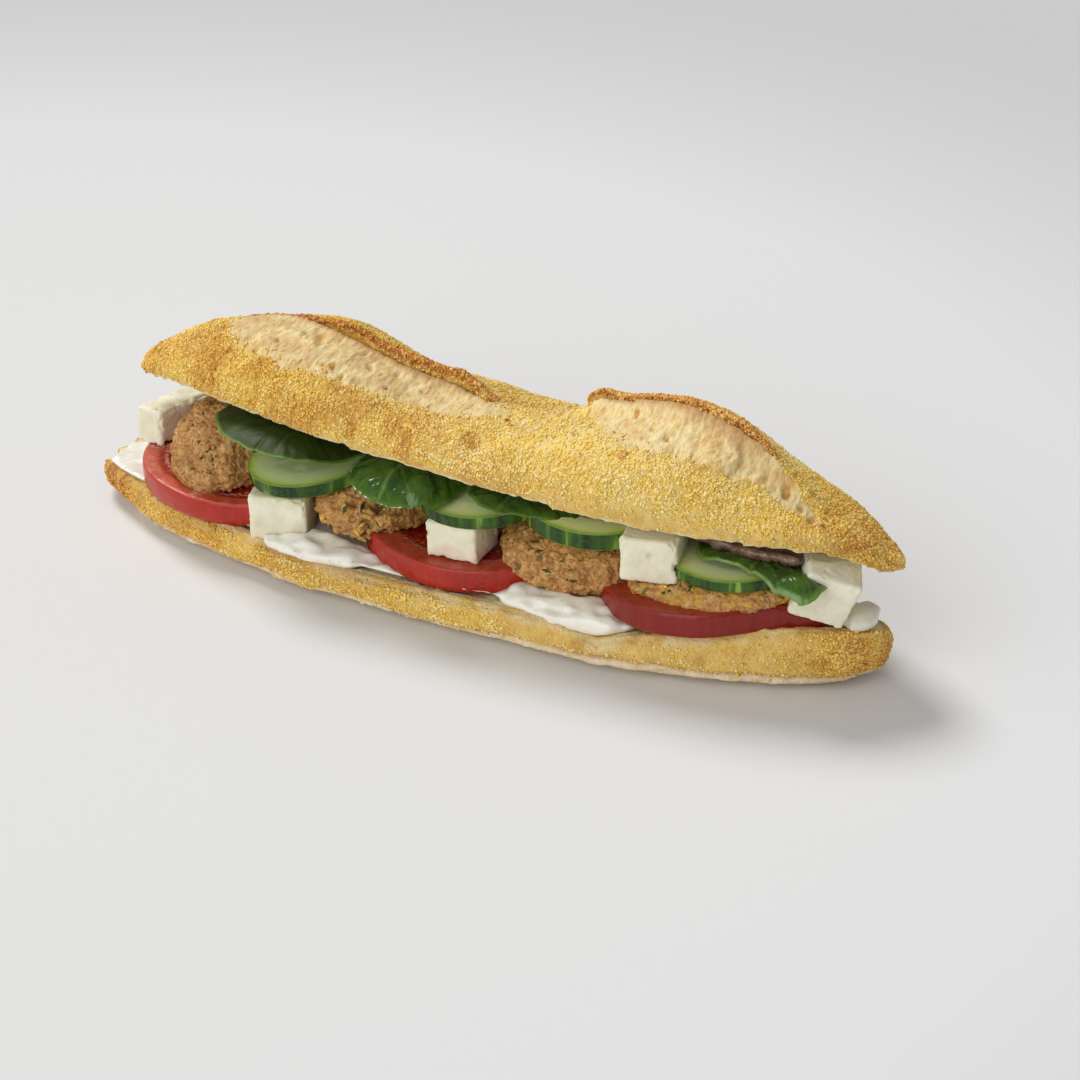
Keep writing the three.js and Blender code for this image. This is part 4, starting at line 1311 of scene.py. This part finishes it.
def build_patties():
    random = np.random.default_rng(200)
    meshes = [build_patty(index, look) for index, look in enumerate(PATTIES, 1)]
    for kind, material, low, high in (
        ("herbs", HERBS, (0.4, 0.2, 0.1), (2.0, 0.8, 0.3)),
        ("corn", CORN, (0.5, 0.4, 0.35), (1.5, 1.0, 0.8)),
    ):
        parts = []
        for index, (mesh, look) in enumerate(zip(meshes, PATTIES)):
            p = points_of(mesh)
            grouped = smooth(noise(p, 7, 160 + index), 0.0, 0.4) + 0.15
            parts.append(surface_spots(mesh, grouped, look[kind], random))
        spots, normals = (np.concatenate(rows) for rows in zip(*parts))
        sizes = random.uniform(low, high, (len(spots), 3))
        name = f"{kind}_flecks"
        bits = scattered_bits(name, spots, normals, sizes, random, sink=0.4, shape=FLECK, faces=FLECK_FACES)
        attributes(bits, tint=np.repeat(random.uniform(0, 1, len(spots)), len(FLECK)))
        piece_of(name, shaded(bits, smoothly=False), material, "patty")


# ---------------------------------------------------------------- spinach


def spinach_material(name, specular, coat):
    s = Shader(name)
    blade = s.ramp(s.noise(6, 4), (0.3, (32, 64, 10)), (0.7, (68, 104, 20)))
    blade = s.mix(s.range(s.noise(1.2, 3), 0.45, 0.75, 0, 0.3), blade, (84, 122, 36))
    dull = s.ramp(s.noise(9, 3), (0.3, (34, 40, 12)), (0.7, (60, 72, 26)))
    blade = s.mix(s.range(s.attribute("matt"), 0.5, 1, 0, 0.85), blade, dull)
    vein = s.range(s.attribute("vein"), 0.15, 1, 0, 0.45)
    colour = s.mix(vein, blade, s.mix(s.attribute("matt"), (122, 158, 66), (84, 96, 44)))
    colour = s.mix(s.attribute("pale"), colour, (112, 146, 62))
    under = s.mix(s.range(s.noise(3, 3), 0.35, 0.65, 0, 1), (92, 128, 62), (112, 146, 78))
    colour = s.mix(s.attribute("under"), colour, under)
    s.soft_inside(0.1, (0.4, 1.0, 0.2), 0.6)
    roughness = s.range(s.attribute("matt"), 0, 1, 0.13, 0.45)
    normal = s.bump(s.noise(0.9, 3), 0.07)
    return s.finish(colour, roughness, normal, specular=specular, coat=coat, coat_roughness=0.08)


# Each leaf's rim, round from its left end past its front tip to the stalk side: places in shares of the CAD
# leaf's half sizes from its middle, along and across, and how far below the cut face it hangs in mm. Then how
# far below it the middle lies and how late the leaf bends down to its rim, where its midrib runs beside the
# middle, and how wavy, puckered and matt it is and how pale its rim. notch is where the rim is torn, blisters
# are (along, across, radius, height), and hem is how thick the rolled front rim is, in mm.
LEAVES = (
    {
        "rim": [
            (-1.06, -0.36, 5.5), (-0.79, -0.70, 6.5), (-0.48, -0.92, 7.0), (-0.17, -1.00, 7.3),
            (0.14, -1.07, 7.3), (0.46, -1.07, 7.3), (0.75, -1.00, 7.3), (0.99, -0.88, 7.3),
            (1.17, -0.66, 7.0), (1.26, -0.30, 5.0), (1.04, 0.31, 2.5), (0.46, 0.85, 1.6),
            (-0.12, 1.05, 1.6), (-0.66, 0.71, 2.0), (-1.01, 0.14, 3.5),
        ],
        "depth": 2.2, "droop": 2.5, "midrib": 6.0, "wave": 0.5, "quilt": 0.2, "matt": 0.95, "rim_pale": 0.8,
        "notch": -61.5,
    },
    {
        "rim": [
            (-0.93, -0.56, 7.5), (-0.68, -0.86, 9.3), (-0.35, -1.01, 11.0), (0.02, -1.04, 11.5),
            (0.32, -1.02, 11.5), (0.57, -0.93, 10.8), (0.75, -0.80, 9.8), (0.82, -0.63, 8.3),
            (0.85, -0.38, 6.0), (0.92, 0.19, 3.0), (0.57, 0.76, 1.8), (0.02, 1.01, 1.6),
            (-0.53, 0.76, 2.0), (-0.90, 0.13, 4.0),
        ],
        "depth": 2.2, "droop": 2.6, "midrib": -3.0, "wave": 0.9, "quilt": 0.9, "matt": 0.0, "rim_pale": 0.4,
        "blisters": [(-8.5, -30.5, 4.4, 2.2), (-19, -31, 3.2, 1.0)],
    },
    {
        "rim": [
            (-1.03, -0.29, 4.5), (-0.87, -0.64, 5.5), (-0.61, -0.85, 5.7), (-0.29, -0.94, 5.7),
            (0.13, -0.91, 5.7), (0.54, -0.77, 5.5), (0.87, -0.66, 5.3), (1.12, -0.51, 5.0),
            (1.14, -0.16, 4.0), (0.96, 0.36, 2.5), (0.50, 0.85, 1.8), (0.0, 1.03, 1.6),
            (-0.57, 0.82, 2.0), (-0.94, 0.30, 3.0),
        ],
        "depth": 2.2, "droop": 2.2, "midrib": -6.0, "wave": 0.5, "quilt": 0.8, "matt": 0.35, "rim_pale": 0.9,
    },
    {
        "rim": [
            (-0.94, -0.39, 5.0), (-0.75, -0.67, 6.5), (-0.47, -0.76, 5.6), (-0.14, -0.76, 5.2),
            (0.14, -0.83, 6.2), (0.40, -0.89, 8.0), (0.65, -0.92, 9.4), (0.86, -0.94, 9.2),
            (1.0, -0.83, 7.0), (0.98, -0.53, 5.0), (0.79, -0.10, 3.5), (0.65, 0.48, 2.5),
            (0.09, 0.94, 1.8), (-0.56, 0.76, 2.0), (-0.94, 0.15, 3.5),
        ],
        "depth": 4.2, "droop": 4.0, "midrib": -2.0, "wave": 0.8, "quilt": 0.8, "matt": 0.05, "rim_pale": 0.6,
        "hem": 0.5, "blisters": [(104.5, -23, 5.5, 1.6), (95, -24, 4.0, 1.0)],
    },
)
# The thickness of a leaf and the distance between its side veins, in mm, and how finely its mesh is divided.
LEAF_THICKNESS = 0.28
VEIN_SPACING = 6.5
LEAF_STEPS = 216
LEAF_RINGS = 40


def closed_curve(points, steps):
    """A smooth closed line through points, as steps points evenly spread between them."""
    points = np.asarray(points, float)
    at = np.linspace(0, len(points), steps, endpoint=False)
    k = at.astype(int)
    t = (at - k)[:, None]
    a, b, c, d = (points[(k + j) % len(points)] for j in (-1, 0, 1, 2))
    return 0.5 * (2 * b + (c - a) * t + (2 * a - 5 * b + 4 * c - d) * t**2 + (3 * b - a - 3 * c + d) * t**3)


def build_leaf(index, leaf):
    node = f"spinach_{index}"
    corners = LID.local(cad_points(node))
    low, high = corners.min(0), corners.max(0)
    middle, half = (low + high) / 2, (high - low) / 2
    steps = LEAF_STEPS
    rim = closed_curve(leaf["rim"], steps)
    rim = np.stack([middle[0] + half[0] * rim[:, 0], middle[1] + half[1] * rim[:, 1], -rim[:, 2]], 1)
    centre = np.array([rim[:, 0].mean(), rim[:, 1].mean() - 4, -leaf["depth"]])
    turn = turns(steps)
    circle = np.stack([9 * np.cos(turn), 9 * np.sin(turn), 0 * turn + 7 * index], 1)
    ripple = 0.012 * noise(circle, 1.6, 310) + 0.008 * noise(circle, 0.7, 311)
    rim[:, :2] += (rim - centre)[:, :2] * ripple[:, None]
    if "notch" in leaf:
        notch = 0.055 * bump(rim[:, 0], leaf["notch"], 1.1) * (rim[:, 1] < centre[1])
        rim[:, :2] -= (rim - centre)[:, :2] * notch[:, None]
    shares = np.linspace(0, 1, LEAF_RINGS + 1)[1:] ** 0.8
    grid = centre + (rim - centre)[None] * shares[:, None, None]
    grid[:, :, 2] = centre[2] + (rim[:, 2] - centre[2])[None] * (shares ** leaf["droop"])[:, None]
    q = grid.reshape(-1, 3)
    share = np.repeat(shares, steps)
    swing = np.tile(turn, len(shares))

    # The midrib runs from the front tip to the stalk, and the side veins leave it slanting to the front.
    u = q[:, 0] - centre[0] - leaf["midrib"]
    v = q[:, 1] - rim[:, 1].min()
    slant = v + 0.75 * np.abs(u) + 0.9 * noise(q, 9, 300 + index)
    phase = (slant % VEIN_SPACING) / VEIN_SPACING
    side = bump(phase, 0.5, 0.07) * smooth(np.abs(u), 0.3, 2)
    fine = smooth(np.abs(fractal(q, 2.6, 2, 305 + index)), 0.09, 0.0)
    midrib = bump(u + 0.6 * np.sin(v / 8), 0, 0.7)
    vein = np.clip(midrib + 0.55 * side + 0.22 * fine, 0, 1) * smooth(share, 1.0, 0.95)
    quilt = np.sin(math.pi * phase) ** 0.7 * smooth(np.abs(u), 0.3, 3) * smooth(share, 1.0, 0.85)
    cone = np.stack([7 * np.cos(swing), 7 * np.sin(swing), 5 * share + index], 1)
    wave = share**3 * (leaf["wave"] * noise(cone, 2.4, 320))
    lift = leaf["quilt"] * (0.75 * quilt + 0.4 * fractal(q, 4, 2, 330 + index) - 0.35 * vein) + wave
    blisters = [
        height * np.sqrt(np.clip(1 - (np.hypot(q[:, 0] - x, q[:, 1] - y) / radius) ** 2, 0, 1))
        for x, y, radius, height in leaf.get("blisters", ())
    ]
    if blisters:
        lift = np.maximum(lift, 0.3 * lift + np.maximum.reduce(blisters))
    hem = leaf.get("hem", 0) * smooth(share, 0.9, 0.96) * smooth(q[:, 1], centre[1], centre[1] - 6)
    q[:, 2] += lift

    # A thin shell round that sheet, thicker in its rolled hem.
    thick = (LEAF_THICKNESS + hem) * np.sqrt(np.clip(1.02 - share**14, 0.02, 1))
    up = np.stack([0 * thick, 0 * thick, thick], 1)
    upper, lower = ((q + side * up).reshape(-1, steps, 3) for side in (1, -1))
    outer = rim + (rim - centre) * np.array([0.008, 0.008, 0])
    outer[:, 2] = q[-steps:, 2]
    tip = np.array([*centre[:2], q[:steps, 2].mean()])
    ends = [tip + (0, 0, side * LEAF_THICKNESS) for side in (1, -1)]
    points, faces = closed_tube(np.concatenate([upper, outer[None], lower[::-1]]), ends)
    mesh = mesh_from(node, LID.world(points), faces)

    def both(values, at_rim, at_tip):
        """A value for each vertex, the same on the top and the underside."""
        back = values.reshape(-1, steps)[::-1].ravel()
        return np.concatenate([values, np.full(steps, at_rim), back, np.full(2, at_tip)])

    pale = np.clip(leaf["rim_pale"] * smooth(share, 0.955, 1.0) + 0.8 * hem, 0, 0.8)
    attributes(
        mesh,
        vein=both(vein, 0, 0.5),
        pale=both(pale, leaf["rim_pale"], 0),
        matt=leaf["matt"],
        under=np.concatenate([np.zeros(len(q) + steps), np.full(len(q), 0.8), (0, 0)]),
    )
    material = DULL_SPINACH if leaf["matt"] > 0.5 else WET_SPINACH
    piece_of(f"spinach_leaf_{index}", mesh, material, "spinach", node)


# ---------------------------------------------------------------- sauces


def sauce_material():
    s = Shader("yoghurt_sauce")
    speck = s.range(s.cells(2.4), 0.13, 0.07, 0, 0.45)
    colour = s.ramp(s.noise(5, 3), (0.35, (243, 239, 224)), (0.65, (251, 248, 237)))
    colour = s.mix(speck, colour, (120, 122, 104))
    colour = s.mix(s.attribute("thin"), colour, (226, 221, 202))
    s.soft_inside(0.3, (1.0, 0.94, 0.86), 2)
    return s.finish(colour, 0.2, s.bump(s.noise(2.6, 2), 0.2), specular=0.5, coat=0.2, coat_roughness=0.06)


def build_sauce():
    mesh, p, n = remeshed("sauce", voxel=0.9, rounds=12)
    x, y, _ = p.T
    up = smooth(n[:, 2], -0.3, 0.3)
    # It is spread with a knife along the loaf, and lies in soft folds where it wells out at the front.
    strokes = 1 - 2 * np.abs(fractal(p * (0.45, 1, 1), 3.4, 1, 400))
    folds = fractal(p, (7, 4, 4), 2, 402)
    edge = smooth(-y, 22, 28)
    left = smooth(-x, 92, 118)
    rise = (0.2 + 0.15 * edge + 0.15 * left) * strokes + (0.3 + 1.0 * edge + 0.5 * left) * folds
    q = p + n * (rise * up)[:, None]
    # At the left end it fills the bread up to its thin crust rim.
    q[:, 0] -= 0.6 * smooth(-x, 104, 125)
    q[:, 1] *= 1 + 0.12 * left
    q[:, 2] += 0.8 * left * smooth(y, -12, 4)
    set_points(mesh, q)
    relax(mesh, 9)
    attributes(mesh, thin=0.75 * smooth(x, 117, 120))
    piece_of("yoghurt_sauce", mesh, SAUCE, "sauce", "sauce")


def spread_material():
    s = Shader("brown_spread")
    colour = s.ramp(s.noise(4, 4), (0.3, (100, 70, 54)), (0.7, (150, 116, 96)))
    s.soft_inside(0.15, (1.0, 0.6, 0.5), 1.5)
    wet = s.plus(s.noise(2.5, 2), s.times(s.noise(0.8, 3), 0.3))
    return s.finish(colour, 0.12, s.bump(wet, 0.7), specular=0.5, coat=0.6, coat_roughness=0.04)


def build_spread():
    mesh, p, n = remeshed("spread_top", voxel=0.6, rounds=4)
    rise = 1.3 * fractal(p, (6, 3, 3), 3, 410) + 1.5 * smooth(-n[:, 1], 0.2, 0.8)
    set_points(mesh, p + n * rise[:, None])
    piece_of("brown_spread", mesh, SPREAD, "spread", "spread_top")


# ---------------------------------------------------------------- floor, light and camera


def build_stage():
    half = 3000
    grid = [(-half, -half, 0), (half, -half, 0), (half, half, 0), (-half, half, 0)]
    mesh = mesh_from("floor", grid, [(0, 1, 2, 3)])
    s = Shader("pale_floor")
    # The paper's colour is a little brighter round the sandwich than far from it: a painted pool of light.
    where = s.make("ShaderNodeVectorMath", {0: s.where, 1: (170, 60, 0)}, operation="ADD")
    far = s.make("ShaderNodeVectorMath", {0: where}, "Value", operation="LENGTH")
    tint = s.ramp(s.range(far, 100, 650), (0, (231, 231, 230)), (0.5, (228, 228, 229)), (1, (206, 206, 207)))
    mesh.materials.append(s.finish(tint, 0.95, specular=0.0))
    new_object("floor", mesh)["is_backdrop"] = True


# Each light's name, the direction it comes from, its strength, and how wide it looks, in degrees.
LIGHTS = (
    ("key", (-0.8, 0.42, 1.15), 0.61, 24),
    ("front_fill", (-0.15, -1.2, 0.6), 0.43, 60),
    ("left_fill", (-1.15, -0.7, 0.5), 0.08, 40),
)


def soft_light(name, direction, strength, spread):
    """A large far softbox: light from one direction, as wide as spread in degrees."""
    data = bpy.data.lights.new(name, "SUN")
    data.energy = strength * math.pi
    data.angle = math.radians(spread)
    lamp = bpy.data.objects.new(name, data)
    lamp.rotation_euler = Vector(direction).to_track_quat("Z", "Y").to_euler()
    bpy.context.scene.collection.objects.link(lamp)


def build_lights():
    world = bpy.data.worlds.new("studio")
    world.use_nodes = True
    background = world.node_tree.nodes["Background"]
    background.inputs["Color"].default_value = (1.0, 0.985, 0.965, 1)
    background.inputs["Strength"].default_value = 0.28
    bpy.context.scene.world = world
    for light in LIGHTS:
        soft_light(*light)
    bpy.context.scene.view_settings.view_transform = "Standard"


# Where the camera stands: degrees round from the front and up from the floor, and metres from its target.
CAMERA_TURN = 28.5
CAMERA_RISE = 27
CAMERA_DISTANCE = 0.88
CAMERA_TARGET = (0.01604, 0.00782, 0.01228)


def build_camera():
    turn, rise = math.radians(CAMERA_TURN), math.radians(CAMERA_RISE)
    level = math.cos(rise)
    back = Vector((math.sin(turn) * level, -math.cos(turn) * level, math.sin(rise)))
    data = bpy.data.cameras.new("camera")
    data.lens = 100
    data.sensor_width = 36
    data.clip_start = 0.05
    camera = bpy.data.objects.new("camera", data)
    camera.location = Vector(CAMERA_TARGET) + CAMERA_DISTANCE * back
    camera.rotation_euler = back.to_track_quat("Z", "Y").to_euler()
    bpy.context.scene.collection.objects.link(camera)
    bpy.context.scene.camera = camera


# ---------------------------------------------------------------- the sandwich

CRUST = crust_material()
GRAINS = grain_material()
TOMATO = tomato_material()
CUCUMBER = cucumber_material()
CHEESE = cheese_material()
PATTY = patty_material()
HERBS = fleck_material("herbs", (44, 44, 14), (74, 82, 26), (112, 112, 48), roughness=0.6)
CORN = fleck_material("corn_bits", (196, 138, 44), (226, 176, 66), (244, 208, 104), roughness=0.35)
WET_SPINACH = spinach_material("wet_spinach", specular=0.5, coat=0.25)
DULL_SPINACH = spinach_material("dull_spinach", specular=0.12, coat=0.0)
SAUCE = sauce_material()
SPREAD = spread_material()

build_camera()
build_lights()
build_stage()
build_top()
build_bottom()
for number, tomato in enumerate(TOMATOES, 1):
    build_tomato(number, tomato)
for number in range(1, 7):
    build_cucumber(number)
for number, blush in enumerate(CHEESE_BLUSH, 1):
    build_cheese(number, blush)
build_patties()
for number, leaf in enumerate(LEAVES, 1):
    build_leaf(number, leaf)
build_sauce()
build_spread()

boxes = {"cad": cad_box, "visual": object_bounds()}
{name: [list(corner) for corner in box] for name, box in boxes.items()}
